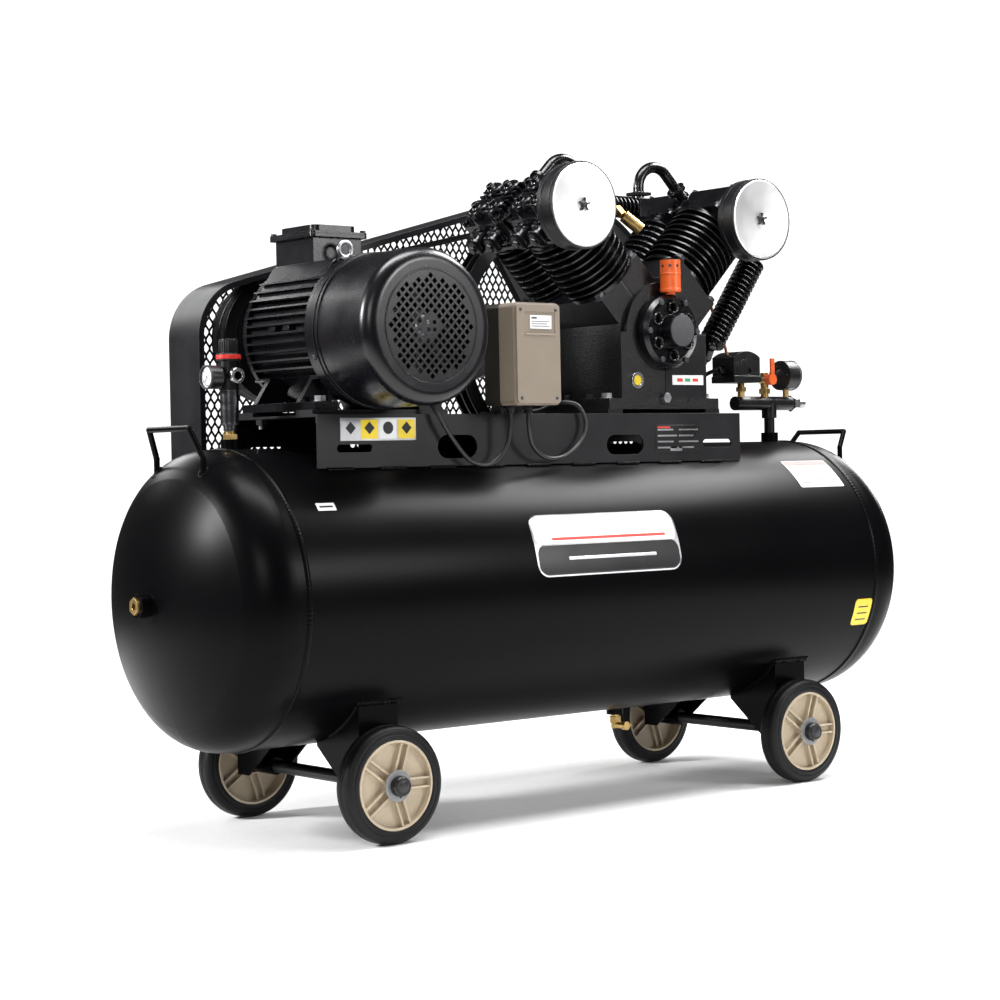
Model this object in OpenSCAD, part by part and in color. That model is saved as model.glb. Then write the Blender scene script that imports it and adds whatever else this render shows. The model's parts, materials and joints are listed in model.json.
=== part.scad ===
// Belt-driven piston air compressor: a 90 degree V pump and an electric motor on a wheeled receiver.
// Millimetres. +Z up, +X along the receiver towards the outlet manifold, +Y towards the belt guard.
// The origin is on the floor under the middle of the receiver.

/* [Receiver] */
// Outside diameter of the receiver
tank_d = 500; // [490:1:510]
// Distance between the two head seams
tank_len = 1328; // [1320:1:1340]
// Height of the receiver's axis above the floor
tank_z = 400; // [395:1:405]
// Wall thickness of the receiver
tank_wall = 5; // [3:1:6]

/* [Wheels] */
// Outside diameter of a wheel
wheel_d = 195; // [190:1:200]
// Width of a tyre
tyre_w = 40; // [36:1:42]
// Distance of each axle from the middle
axle_x = 487.5; // [480:0.5:495]
// Diameter of an axle
axle_d = 22; // [20:1:24]

/* [Platform] */
// Left end of the platform
plat_x0 = -561; // [-570:1:-550]
// Right end of the platform
plat_x1 = 416; // [410:1:420]
// Width of the platform
plat_w = 264; // [260:2:266]
// Height of the platform's top face
plat_z = 704; // [700:1:708]

/* [Motor] */
// Motor axis from the middle
motor_x = -420; // [-424:1:-416]
// Outside diameter of the fan cowl
cowl_d = 260; // [250:1:262]
// Pitch diameter of the motor pulley
motor_pulley_d = 212; // [200:2:214]

/* [Pump] */
// Crankshaft axis from the middle
crank_x = 228; // [224:1:232]
// Pitch diameter of the flywheel
flywheel_d = 472; // [460:2:474]
// Stroke of the pistons
stroke = 60; // [50:2:62]
// Bore of the two front low-pressure cylinders
lp_bore = 90; // [80:1:92]
// Bore of the two rear high-pressure cylinders
hp_bore = 68; // [60:1:70]
// Diameter of an intake filter
filter_d = 155; // [150:1:158]

/* [Hidden] */
$fn = 96;

eps = 0.01;
// How much fuller a round elbow is than its tubes
joint = 0.2;
tank_r = tank_d / 2;
seam_x = tank_len / 2;
head_flange = 20;
crown_r = 0.9 * tank_d;
knuckle_r = 0.17 * tank_d;
crown_z = head_flange - sqrt(pow(crown_r - knuckle_r, 2) - pow(tank_r - knuckle_r, 2));
apex_x = seam_x + crown_z + crown_r;
boss_x = apex_x + 21.6;
boss_r = 20;
bushing_r = 12;
port_r = 6;

axle_z = wheel_d / 2;
axle_r = axle_d / 2;
wheel_y = 190;
wheel_corners = [[-1, -1], [-1, 1], [1, -1], [1, 1]];
rim_r = 74;

sheet = 4;
pad_h = 8;
base_z = plat_z + pad_h;
skirt_z = 615;
motor_z = base_z + 132;
crank_z = 855;
belt_y = [201, 223];
belt_w = 13;
pulley_y0 = 190;
pulley_y1 = 234;
motor_pulley_r = motor_pulley_d / 2;
flywheel_r = flywheel_d / 2;
guard_y0 = 160;
guard_y1 = 260;

sight_x = crank_x - 71;
sight_z = 765;
deck_s = 140;
head_s = 282;
head_h = 62;
head_half_x = 59;
bank_offset = 9;
lp_y = -52;
hp_y = 68;
lp_fin_r = 72;
hp_fin_r = 60;
mid_y = 5;
throw_r = stroke / 2;
rod_len = 205;
pin_r = 18;

tube_sides = 10;
motor_lead_route = [
    [-180, -167, 704], [-180, -166, 680], [-186, -160, 645], [-215, -154, 618], [-255, -151, 622],
    [-290, -150, 655], [-322, -148, 700], [-330, -132, 728], [-310, -95, 748], [-276, -60, 780],
    [-268, -30, 840], [-270, 0, 910], [-282, 30, 962], [-310, 40, 984], [-340, 40, 986]
];
switch_lead_route = [
    [-140, -167, 704], [-138, -166, 680], [-125, -160, 648], [-90, -154, 626], [-45, -150, 628],
    [-5, -148, 652], [12, -146, 685], [0, -138, 718], [-20, -110, 724], [-15, -50, 712],
    [20, 60, 712], [55, 112, 711], [88, 135, 709.5], [118, 144.5, 699], [150, 147, 690],
    [260, 147, 684], [365, 147, 686], [418, 143, 694], [446, 116, 720], [474, 58, 766],
    [484, 15, 788], [492, 0, 790]
];
unloader_route = [
    [517, 0, 819], [516, 2, 834], [510, 8, 862], [501, 16, 896], [495, 26, 936], [490, 34, 976],
    [486, 40, 1008], [481, 44, 1029]
];

// ---------- shared shapes ----------
module xcyl(y, z, x0, x1, r) {
    translate([x0, y, z]) rotate([0, 90, 0]) cylinder(h = x1 - x0, r = r);
}

module ycyl(x, z, y0, y1, r) {
    translate([x, y0, z]) rotate([-90, 0, 0]) cylinder(h = y1 - y0, r = r);
}

module zcyl(x, y, z0, z1, r) {
    translate([x, y, z0]) cylinder(h = z1 - z0, r = r);
}

// A round bar from p to q.
module bar(p, q, r) {
    d = q - p;
    translate(p)
        rotate([0, acos(d[2] / norm(d)), atan2(d[1], d[0])])
            cylinder(h = norm(d), r = r);
}

// A block given by its two corners.
module block(p, q) {
    translate(p) cube(q - p);
}

// A flat outline in X and Z, given thickness along Y.
module yplate(y0, y1) {
    translate([0, y1, 0]) rotate([90, 0, 0]) linear_extrude(y1 - y0) children();
}

// A profile of radius and height, turned about an axis along Y that starts at y0.
module yturn(x, z, y0) {
    translate([x, y0, z]) rotate([-90, 0, 0]) rotate_extrude() children();
}

// A rectangle with round corners.
module rounded(w, h, r) {
    square([w - 2 * r, h], center = true);
    square([w, h - 2 * r], center = true);
    for (sx = [-1, 1], sy = [-1, 1])
        translate([sx * (w / 2 - r), sy * (h / 2 - r)]) circle(r);
}

// A hexagon nut or bolt head, with its axis along Z.
module hex(h, across) {
    cylinder(h = h, r = across / sqrt(3), $fn = 6);
}

// Places its children in a pump bank: local Z along the bank, local X away from the other bank.
module bank(side, y) {
    translate([crank_x, y + side * bank_offset, crank_z])
        mirror([side < 0 ? 1 : 0, 0, 0])
            rotate([0, 45, 0])
                children();
}

// ---------- swept tubes ----------
function curve_point(p, i, t) =
    let (n = len(p) - 1, a = p[max(i - 1, 0)], b = p[i], c = p[min(i + 1, n)], d = p[min(i + 2, n)])
    0.5 * (2 * b + (c - a) * t + (2 * a - 5 * b + 4 * c - d) * t * t
        + (3 * b - a - 3 * c + d) * t * t * t);

function smooth_route(p, steps) = concat(
    [for (i = [0 : len(p) - 2], j = [0 : steps - 1]) curve_point(p, i, j / steps)],
    [p[len(p) - 1]]);

function unit(v) = v / norm(v);

function heading(p, i) = unit(p[min(i + 1, len(p) - 1)] - p[max(i - 1, 0)]);

module swept_tube(route, r, steps, side_hint) {
    p = smooth_route(route, steps);
    n = len(p);
    points = [
        for (i = [0 : n - 1])
            let (t = heading(p, i), u = unit(cross(t, side_hint)), v = cross(t, u))
            for (k = [0 : tube_sides - 1])
                p[i] + r * (cos(360 * k / tube_sides) * u + sin(360 * k / tube_sides) * v)
    ];
    sides = [
        for (i = [0 : n - 2], k = [0 : tube_sides - 1])
            let (a = i * tube_sides + k, b = i * tube_sides + (k + 1) % tube_sides)
            [a, a + tube_sides, b + tube_sides, b]
    ];
    first = [for (k = [0 : tube_sides - 1]) k];
    last = [for (k = [0 : tube_sides - 1]) n * tube_sides - 1 - k];
    polyhedron(points, concat(sides, [first, last]), convexity = 6);
}

// ---------- receiver ----------
// Half of a dished head: flat edge at height 0, round knuckle, then the crown.
module head_outline(inset) {
    knuckle_x = tank_r - knuckle_r;
    intersection() {
        square([tank_r, tank_r]);
        union() {
            square([tank_r - inset, head_flange]);
            translate([knuckle_x, head_flange]) circle(knuckle_r - inset);
            intersection() {
                translate([0, crown_z]) circle(crown_r - inset);
                polygon([
                    [0, crown_z],
                    [2 * knuckle_x, 2 * head_flange - crown_z],
                    [0, crown_z + 2 * crown_r]
                ]);
            }
        }
    }
}

module right_head_solid(inset) {
    translate([seam_x, 0, tank_z]) rotate([0, 90, 0]) rotate_extrude() head_outline(inset);
}

module tank_solid() {
    xcyl(0, tank_z, -seam_x, seam_x, tank_r);
    for (m = [0, 1]) mirror([m, 0, 0]) right_head_solid(0);
}

manifold_x = 634;
regulator_x = -645;
check_valve_x = 455;
check_valve_y = 60;
drain_x = 200;
drain_z = 118;

// Sockets welded on the shell: [x, y, outside radius, thread radius, height of the top].
sockets = [
    [regulator_x, 0, 16, 9, 666], [manifold_x, 0, 17, 11, 668],
    [check_valve_x, check_valve_y, 17, 12, 662]
];

module tank_shell() {
    color("#1a1a1c") {
        difference() {
            union() {
                xcyl(0, tank_z, -seam_x, seam_x, tank_r);
                for (s = sockets) zcyl(s[0], s[1], tank_z + tank_r - 30, s[4], s[2]);
                zcyl(drain_x, 0, 138, 160, 16);
            }
            xcyl(0, tank_z, -seam_x - eps, seam_x + eps, tank_r - tank_wall);
            for (s = sockets) zcyl(s[0], s[1], tank_z, s[4] + eps, s[3]);
            zcyl(drain_x, 0, 130, 200, 8);
        }
    }
}

module tank_heads() {
    color("#1a1a1c")
        for (m = [0, 1]) mirror([m, 0, 0]) difference() {
            union() {
                right_head_solid(0);
                xcyl(0, tank_z, apex_x - 20, boss_x, boss_r);
            }
            right_head_solid(tank_wall);
            xcyl(0, tank_z, seam_x, boss_x + eps, bushing_r);
        }
}

// A bent bar across the top of one head.
module handle(foot_x, bar_x, bar_z) {
    foot_y = 72;
    bar_y = 62;
    bar_r = 5;
    for (s = [-1, 1]) {
        bar([foot_x, s * foot_y, 600], [foot_x, s * foot_y, 636], bar_r);
        translate([foot_x, s * foot_y, 636]) sphere(bar_r + joint);
        bar([foot_x, s * foot_y, 636], [bar_x, s * bar_y, bar_z], bar_r);
        translate([bar_x, s * bar_y, bar_z]) sphere(bar_r + joint);
    }
    bar([bar_x, -bar_y, bar_z], [bar_x, bar_y, bar_z], bar_r);
}

module tank_handles() {
    color("#1a1a1c") difference() {
        union() {
            handle(-743, -762, 684);
            handle(762, 786, 668);
        }
        tank_solid();
    }
}

// A tapered channel under one corner of the receiver, with a sleeve for the axle.
module leg_bracket(sx) {
    outer = [[-183, 300], [-183, 82], [-150, 82], [-62, 152], [-62, 300]];
    inner = [[-179, 301], [-179, 81], [-50, 81], [-50, 301]];
    translate([sx * axle_x, 0, 0]) difference() {
        union() {
            difference() {
                translate([-40, 0, 0]) rotate([90, 0, 90]) linear_extrude(80) polygon(outer);
                translate([-36, 0, 0]) rotate([90, 0, 90]) linear_extrude(72) polygon(inner);
            }
            ycyl(0, axle_z, -184, -120, 15.5);
            block([-38, -130, axle_z - 2], [38, -126, axle_z + 2]);
        }
        ycyl(0, axle_z, -200, -100, axle_r);
    }
}

module leg_brackets() {
    color("#1a1a1c") difference() {
        for (c = wheel_corners) mirror([0, c[1] > 0 ? 1 : 0, 0]) leg_bracket(c[0]);
        tank_solid();
    }
}

// Two through axles, each with a washer, an end cap and a split pin at both ends.
module axles() {
    cap_y = wheel_y + tyre_w + 4;
    color("#2a2a2c") for (sx = [-1, 1], m = [0, 1]) mirror([0, m, 0]) {
        ycyl(sx * axle_x, axle_z, 0, cap_y, axle_r);
        ycyl(sx * axle_x, axle_z, cap_y, cap_y + 16, 14);
        translate([sx * axle_x, wheel_y + tyre_w + 0.6, axle_z]) rotate([-90, 0, 0]) difference() {
            cylinder(h = 2.5, r = 22);
            translate([0, 0, -1]) cylinder(h = 5, r = axle_r);
        }
        zcyl(sx * axle_x, cap_y + 6, axle_z - 19, axle_z - 13, 2);
        zcyl(sx * axle_x, cap_y + 6, axle_z + 13, axle_z + 17, 2);
    }
}

// Wheel parts are drawn facing -Y at the origin, and then put at their corner.
module at_corner(i) {
    c = wheel_corners[i];
    translate([c[0] * axle_x, 0, axle_z])
        mirror([0, c[1] > 0 ? 1 : 0, 0])
            translate([0, -wheel_y - tyre_w, 0])
                children();
}

module rim_shape() {
    difference() {
        union() {
            yturn(0, 0, 0) polygon([
                [0, 12], [rim_r - 5, 12], [rim_r - 4, 1], [rim_r, 1],
                [rim_r, tyre_w - 1], [rim_r - 4, tyre_w - 1], [rim_r - 5, 18], [0, 18]
            ]);
            ycyl(0, 0, 0, tyre_w, 20);
            for (k = [0 : 4], s = [-1, 1])
                rotate([0, 72 * k, 0]) block([14, 3, s * 7.5 - 1.7], [rim_r - 4, 27, s * 7.5 + 1.7]);
        }
        ycyl(0, 0, -1, tyre_w + 1, axle_r + 0.06);
    }
}

module tyre_shape() {
    tread = 6;
    r = wheel_d / 2;
    yturn(0, 0, 0) polygon([
        [rim_r, 1], [rim_r + 6, 0], [r - 12, 0], [r - 4, 2], [r, tread + 1],
        [r, tyre_w - tread - 1], [r - 4, tyre_w - 2], [r - 12, tyre_w], [rim_r + 6, tyre_w],
        [rim_r, tyre_w - 1]
    ]);
}

module rim(i) { color("#b3a58d") at_corner(i) rim_shape(); }
module tyre(i) { color("#26262a") at_corner(i) tyre_shape(); }

// ---------- platform ----------
// Openings in each skirt: [left, right, low, high].
skirt_slots = [
    [-523, -450, 641, 654], [-313, -227, 628, 668], [74, 165, 629, 665], [317, 393, 640, 655]
];
motor_foot_x = 108;
motor_foot_y = [-94, 84];
pump_foot_x = [104, 352];
pump_foot_y = [-100, 96];
bolt_r = 5;

module slot_outline(s) {
    r = (s[3] - s[2]) / 2;
    mid = (s[3] + s[2]) / 2;
    translate([s[0] + r, s[2]]) square([s[1] - s[0] - 2 * r, 2 * r]);
    for (x = [s[0] + r, s[1] - r]) translate([x, mid]) circle(r);
}

module platform() {
    half = plat_w / 2;
    color("#1c1c1f") difference() {
        union() {
            block([plat_x0, -half, plat_z - sheet], [plat_x1, half, plat_z]);
            for (s = [-1, 1]) {
                y = s > 0 ? half - sheet : -half;
                difference() {
                    block([plat_x0, y, skirt_z], [plat_x1, y + sheet, plat_z]);
                    yplate(y - 1, y + sheet + 1) for (slot = skirt_slots) slot_outline(slot);
                }
            }
            for (y = motor_foot_y)
                block([motor_x - 141, y - 24, plat_z], [motor_x + 141, y + 24, base_z]);
            for (x = pump_foot_x) block([x - 18, -124, plat_z], [x + 18, 116, base_z]);
            block([-185, -124, plat_z], [-115, -121, 880]);
            block([-185, -124, plat_z], [-115, -90, plat_z + 3]);
        }
        for (sx = [-1, 1], y = motor_foot_y)
            zcyl(motor_x + sx * motor_foot_x, y, plat_z - 10, base_z + 1, bolt_r);
        for (x = pump_foot_x, y = pump_foot_y) zcyl(x, y, plat_z - 10, base_z + 1, bolt_r);
    }
}

// A bolt through a foot of thickness t that stands on the pads: head, washer, shank and nut.
module foot_bolt(x, y, t) {
    top = base_z + t;
    zcyl(x, y, plat_z - sheet - 16, top + 10, bolt_r);
    difference() {
        union() {
            zcyl(x, y, top, top + 2, 11);
            translate([x, y, top + 2]) hex(8, 18);
            translate([x, y, plat_z - sheet - 8]) hex(8, 18);
        }
        zcyl(x, y, 0, 2000, bolt_r);
    }
}

module fasteners() {
    eye_z = 988;
    color("#9a9aa0") {
        for (sx = [-1, 1], y = motor_foot_y) foot_bolt(motor_x + sx * motor_foot_x, y, 14);
        for (x = pump_foot_x, y = pump_foot_y) foot_bolt(x, y, 20);
        translate([motor_x, -22, eye_z]) rotate([90, 0, 0])
            rotate_extrude() translate([13, 0]) circle(4);
        zcyl(motor_x, -22, 966, eye_z - 12, 5);
        zcyl(motor_x, -22, 966, 969, 11);
        translate([crank_x - 3.5, -125, 732.5]) rotate([90, 0, 0]) hex(11, 17);
    }
}

// ---------- motor ----------
housing_y0 = -84;
housing_y1 = 105;
box_z = 966;

module housing_outline() {
    difference() {
        union() {
            circle(112);
            intersection() {
                circle(128);
                for (k = [-6 : 6]) translate([-128, k * 15 - 1.6]) square([256, 3.2]);
            }
            translate([-58, 60]) square([116, box_z - motor_z - 60]);
            for (s = [-1, 1]) polygon([
                [s * 60, -70], [s * 104, -76], [s * 132, base_z - motor_z + 14],
                [s * 132, base_z - motor_z], [s * 84, base_z - motor_z], [s * 70, -104]
            ]);
        }
        circle(100);
    }
}

module motor_housing() {
    color("#1d1d20") difference() {
        translate([motor_x, 0, motor_z]) yplate(housing_y0, housing_y1) housing_outline();
        difference() {
            for (s = [-1, 1]) {
                block([motor_x + s * 101 - 60, -58, base_z + 14], [motor_x + s * 101 + 60, 60, 780]);
                block([motor_x + s * 112 - 28, -118, base_z + 14], [motor_x + s * 112 + 28, -70, 765]);
                block([motor_x + s * 112 - 28, 72, base_z + 14], [motor_x + s * 112 + 28, 106, 765]);
            }
            ycyl(motor_x, motor_z, -200, 200, 112.4);
        }
        for (sx = [-1, 1]) zcyl(motor_x + sx * motor_foot_x, motor_foot_y[1], 700, 740, bolt_r);
        zcyl(motor_x, 57, 900, box_z + 1, 14);
    }
    color("#1d1d20") for (sx = [-1, 1]) difference() {
        block([motor_x + sx * 108 - 24, -112, base_z], [motor_x + sx * 108 + 24, housing_y0, base_z + 14]);
        zcyl(motor_x + sx * motor_foot_x, motor_foot_y[0], 700, 740, bolt_r);
    }
}

module motor_end_shields() {
    color("#202023") {
        difference() {
            yturn(motor_x, motor_z, housing_y1)
                polygon([[0, 0], [121, 0], [121, 10], [112, 17], [50, 20], [44, 26], [0, 26]]);
            ycyl(motor_x, motor_z, housing_y1 - 1, 150, 24);
            ycyl(motor_x, motor_z, housing_y1 - 1, 126, 36);
        }
        difference() {
            yturn(motor_x, motor_z, -99)
                polygon([[0, 0], [44, 0], [60, 6], [110, 6], [110, 15], [0, 15]]);
            ycyl(motor_x, motor_z, -100, -80, 36);
        }
    }
}

module stator_core() {
    color("#8a5a30") difference() {
        union() {
            ycyl(motor_x, motor_z, -56, 76, 99.8);
            ycyl(motor_x, motor_z, -78, 98, 92);
        }
        ycyl(motor_x, motor_z, -90, 110, 65.4);
        ycyl(motor_x, motor_z, -90, -56, 72);
        ycyl(motor_x, motor_z, 76, 110, 72);
    }
}

module ring(x, z, y0, y1, r_in, r_out) {
    difference() {
        ycyl(x, z, y0, y1, r_out);
        ycyl(x, z, y0 - 1, y1 + 1, r_in);
    }
}

shaft_r = 19;
journal_r = 22;

module bearings() {
    color("#b8b8bc") {
        ring(motor_x, motor_z, -98, -86, shaft_r + 0.05, 36);
        ring(motor_x, motor_z, 108, 125, shaft_r + 0.05, 36);
        ring(crank_x, crank_z, -124, -106, journal_r + 0.05, 42);
        ring(crank_x, crank_z, 102, 119, journal_r + 0.05, 42);
    }
}

module rotor_shaft() {
    color("#8f8f94") {
        ycyl(motor_x, motor_z, -240, 250, shaft_r);
        ring(motor_x, motor_z, -62, 82, shaft_r, 64.8);
    }
}

module motor_fan() {
    color("#3a3a3e") difference() {
        union() {
            ycyl(motor_x, motor_z, -232, -196, 27);
            ring(motor_x, motor_z, -200, -196, 20, 96);
            for (k = [0 : 6])
                translate([motor_x, 0, motor_z]) rotate([0, k * 360 / 7, 0])
                    block([22, -232, -1.5], [98, -197, 1.5]);
        }
        ycyl(motor_x, motor_z, -240, -190, shaft_r);
    }
}

// Square openings on a 45 degree grid inside a circle, with a plain middle.
module grille_outline() {
    pitch = 11.6;
    hole = 7.6;
    rotate(45) for (i = [-7 : 7], j = [-7 : 7])
        if (norm([i, j]) * pitch < 83 && max(abs(i), abs(j)) > 1)
            translate([i * pitch, j * pitch]) square(hole, center = true);
    for (k = [0 : 3]) rotate(90 * k) translate([6, 6]) square(6.5, center = true);
}

module fan_cowl() {
    r = cowl_d / 2;
    color("#1b1b1e") difference() {
        yturn(motor_x, motor_z, -260) union() {
            difference() {
                union() {
                    translate([0, 22]) square([r, 153.5]);
                    square([r - 22, 30]);
                    translate([r - 22, 22]) circle(22);
                }
                translate([-1, 2]) square([r - 22, 60]);
                translate([0, 22]) square([r - 2, 200]);
                translate([r - 22, 22]) circle(20);
                translate([-50, -50]) square([50, 300]);
            }
            translate([r, 138]) square([1.8, 5]);
            translate([r, 148]) square([1.8, 19]);
        }
        translate([motor_x, 0, motor_z]) yplate(-262, -255) grille_outline();
        ring(motor_x, motor_z, -262, -259.2, 92, 95);
    }
}

module terminal_box() {
    color("#1d1d20") difference() {
        union() {
            block([motor_x - 50, 0, box_z], [motor_x + 50, 114, box_z + 48]);
            translate([motor_x, 57, box_z + 44]) linear_extrude(6) rounded(118, 134, 8);
            xcyl(40, 986, motor_x + 50, motor_x + 55, 15);
        }
        block([motor_x - 47, 3, box_z + 3], [motor_x + 47, 111, box_z + 60]);
        xcyl(40, 986, motor_x + 40, motor_x + 60, 8);
        zcyl(motor_x, 57, 960, 980, 14);
    }
}

module terminal_lid() {
    z = box_z + 50;
    color("#1d1d20") {
        translate([motor_x, 57, z]) linear_extrude(4) rounded(118, 134, 8);
        translate([motor_x, 57, z + 4]) linear_extrude(12) rounded(92, 106, 14);
        for (sx = [-1, 1], sy = [-1, 1])
            zcyl(motor_x + sx * 52, 57 + sy * 60, z + 4, z + 8, 5);
    }
}

// ---------- belt drive ----------
// A pulley turned about Y, with one groove for each belt.
module pulley_body(x, z, r) {
    difference() {
        ycyl(x, z, pulley_y0, pulley_y1, r + 4);
        for (y = belt_y) yturn(x, z, y) polygon([
            [r - 6.5, -7.2], [r - 6.5, 7.2], [r + 5, 9.2], [r + 5, -9.2]
        ]);
    }
}

module motor_pulley() {
    color("#2c2c30") difference() {
        pulley_body(motor_x, motor_z, motor_pulley_r);
        ycyl(motor_x, motor_z, pulley_y0 - 1, pulley_y1 + 1, shaft_r);
        ring(motor_x, motor_z, pulley_y0 - 1, pulley_y0 + 14, 36, motor_pulley_r - 18);
        ring(motor_x, motor_z, pulley_y1 - 14, pulley_y1 + 1, 36, motor_pulley_r - 18);
    }
}

module flywheel() {
    color("#2c2c30") difference() {
        union() {
            difference() {
                pulley_body(crank_x, crank_z, flywheel_r);
                ycyl(crank_x, crank_z, pulley_y0 - 1, pulley_y1 + 1, flywheel_r - 24);
            }
            ycyl(crank_x, crank_z, pulley_y0 - 6, pulley_y1, 38);
            for (k = [0 : 4])
                translate([crank_x, 0, crank_z]) rotate([0, 72 * k + 20, 0])
                    translate([flywheel_r / 2, 212, 0]) rotate([24, 0, 0])
                        cube([flywheel_r - 38, 12, 46], center = true);
        }
        ycyl(crank_x, crank_z, pulley_y0 - 10, pulley_y1 + 1, journal_r);
        ring(crank_x, crank_z, pulley_y0 - 30, pulley_y0 - 6, 0.1, 60);
    }
}

function arc_points(cx, cz, r, a0, a1, n) =
    [for (i = [0 : n]) let (a = a0 + (a1 - a0) * i / n) [cx + r * cos(a), cz + r * sin(a)]];

// Belt loop round both pulleys, out or in from the pitch line, in short straight pieces on the arcs.
function belt_loop(out) =
    let (
        span = crank_x - motor_x,
        rise = crank_z - motor_z,
        tilt = atan2(rise, span),
        ra = motor_pulley_r + out,
        rb = flywheel_r + out,
        lean = asin((rb - ra) / norm([span, rise]))
    )
    concat(
        arc_points(motor_x, motor_z, ra, tilt + 90 + lean, tilt + 270 - lean, 24),
        arc_points(crank_x, crank_z, rb, tilt - 90 - lean, tilt + 90 + lean, 56));

module v_belts() {
    color("#222224") for (y = belt_y) yplate(y - belt_w / 2, y + belt_w / 2) difference() {
        polygon(belt_loop(4));
        polygon(belt_loop(-5));
    }
}

// Outline of the guard: straight left side and foot, a sloping top, round over the flywheel.
guard_left = -602;
guard_foot = 600;
guard_big_r = 285;
guard_small_r = 105;
guard_slope = 15.3;

// Height of the round corner's centre, where the top line is tangent to both arcs.
guard_small_x = guard_left + guard_small_r;
guard_small_z = crank_z + ((guard_big_r - guard_small_r)
    - (crank_x - guard_small_x) * sin(guard_slope)) / cos(guard_slope);

function guard_points(inset) = concat(
    [[guard_left + inset, guard_foot + inset]],
    arc_points(guard_small_x, guard_small_z, guard_small_r - inset, 180, 90 + guard_slope, 8),
    arc_points(crank_x, crank_z, guard_big_r - inset, 90 + guard_slope, 0, 16),
    [[crank_x + guard_big_r - inset, guard_foot + inset]]);

module guard_outline(inset) {
    polygon(guard_points(inset));
}

module guard_band() {
    color("#1b1b1e") {
        yplate(guard_y0, guard_y1) difference() {
            guard_outline(0);
            guard_outline(1.5);
        }
        yplate(guard_y0, guard_y0 + 1.5) difference() {
            guard_outline(1.5);
            guard_outline(11);
        }
        yplate(guard_y1 - 1.5, guard_y1) difference() {
            guard_outline(1.5);
            guard_outline(11);
        }
        for (x = [-250, 20]) {
            block([x - 20, plat_w / 2, 655], [x + 20, guard_y0, 658]);
            block([x - 20, guard_y0 - 3, guard_foot], [x + 20, guard_y0, 658]);
        }
    }
}

module guard_mesh() {
    color("#1b1b1e") yplate(guard_y1 - 3, guard_y1 - 1.5) guard_outline(2);
}

// ---------- pump ----------
module crankcase_arch() {
    ycyl(crank_x, crank_z, -112, 119, 102);
    for (side = [-1, 1])
        translate([crank_x, 0, crank_z]) mirror([side < 0 ? 1 : 0, 0, 0]) rotate([0, 45, 0])
            translate([-62, -113, 20]) cube([124, 231, deck_s - 20]);
}

module crankcase() {
    color("#222226") difference() {
        union() {
            crankcase_arch();
            block([crank_x - 108, -125, base_z], [crank_x + 108, 120, crank_z - 2]);
            block([crank_x - 139, -125, base_z], [crank_x + 139, 120, base_z + 20]);
            ycyl(crank_x, crank_z, -124, -110, 92);
            ycyl(crank_x, crank_z, 120, 128, 56);
        }
        ycyl(crank_x, crank_z, -106, 102, 86);
        block([crank_x - 94, -106, base_z + 14], [crank_x + 94, 102, crank_z]);
        for (side = [-1, 1]) {
            bank(side, lp_y) zcyl(0, 0, 60, 300, lp_bore / 2 + 7);
            bank(side, hp_y) zcyl(0, 0, 60, 300, hp_bore / 2 + 7);
        }
        ycyl(crank_x, crank_z, -126, -100, 42);
        ycyl(crank_x, crank_z, 100, 119.5, 42);
        ycyl(crank_x, crank_z, 110, 140, 26);
        for (x = pump_foot_x, y = pump_foot_y) zcyl(x, y, 700, 740, bolt_r);
        ycyl(sight_x, sight_z, -130, -100, 9);
    }
}

module bearing_cover() {
    color("#1f1f22") difference() {
        yturn(crank_x, crank_z, -150) polygon([
            [0, -25], [31, -25], [31, 2], [54, 2], [62, 0], [68, 8], [68, 25], [0, 25]
        ]);
        yturn(crank_x, crank_z, -150) polygon([[0, -20], [24, -20], [24, 26], [0, 26]]);
        for (k = [0 : 5]) translate([crank_x, 0, crank_z]) rotate([0, 60 * k + 30, 0])
            ycyl(44, 0, -160, -140, 8);
    }
}

module breather() {
    y = -145;
    color("#d9632b") {
        zcyl(crank_x, y, crank_z + 72, crank_z + 131, 19);
        difference() {
            zcyl(crank_x, y, crank_z + 58, crank_z + 72, 9);
            ycyl(crank_x, crank_z, -170, -120, 68);
        }
    }
}

module sight_glass() {
    color("#d8d8dc") {
        ring(sight_x, sight_z, -129, -125, 10, 15);
        ycyl(sight_x, sight_z, -127, -110, 9);
    }
}

// One cylinder in its bank's frame: a liner with round fins, cut flat beside its neighbour.
module finned_cylinder(bore_r, fin_r, cut) {
    wall = 7;
    fins = 9;
    pitch = (head_s - deck_s - 14) / fins;
    difference() {
        union() {
            translate([0, 0, deck_s - 18]) cylinder(h = head_s - deck_s + 18, r = bore_r + wall);
            intersection() {
                union() {
                    translate([0, 0, deck_s]) cylinder(h = 8, r = fin_r - 4);
                    translate([0, 0, head_s - 8]) cylinder(h = 8, r = fin_r - 2);
                    for (k = [1 : fins])
                        translate([0, 0, deck_s + 5 + k * pitch - 3]) cylinder(h = 3.4, r = fin_r);
                    translate([0, 0, deck_s]) cylinder(h = head_s - deck_s, r = bore_r + wall + 4);
                }
                translate([-100, cut > 0 ? -200 : cut, 0]) cube([200, 200 + abs(cut), 400]);
            }
        }
        translate([0, 0, 50]) cylinder(h = 300, r = bore_r);
    }
}

module cylinders() {
    color("#26262a") for (side = [-1, 1]) {
        bank(side, lp_y) finned_cylinder(lp_bore / 2, lp_fin_r, mid_y - lp_y - 0.5);
        bank(side, hp_y) finned_cylinder(hp_bore / 2, hp_fin_r, -(hp_y - mid_y - 0.5));
    }
}

function pin_angle(y) = y < 0 ? 0 : 180;

// Distance of a piston pin from the crank axis along its bank, at the rest position.
function pin_s(y) =
    let (a = 45 + pin_angle(y))
    throw_r * cos(a) + sqrt(rod_len * rod_len - pow(throw_r * sin(a), 2));

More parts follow.
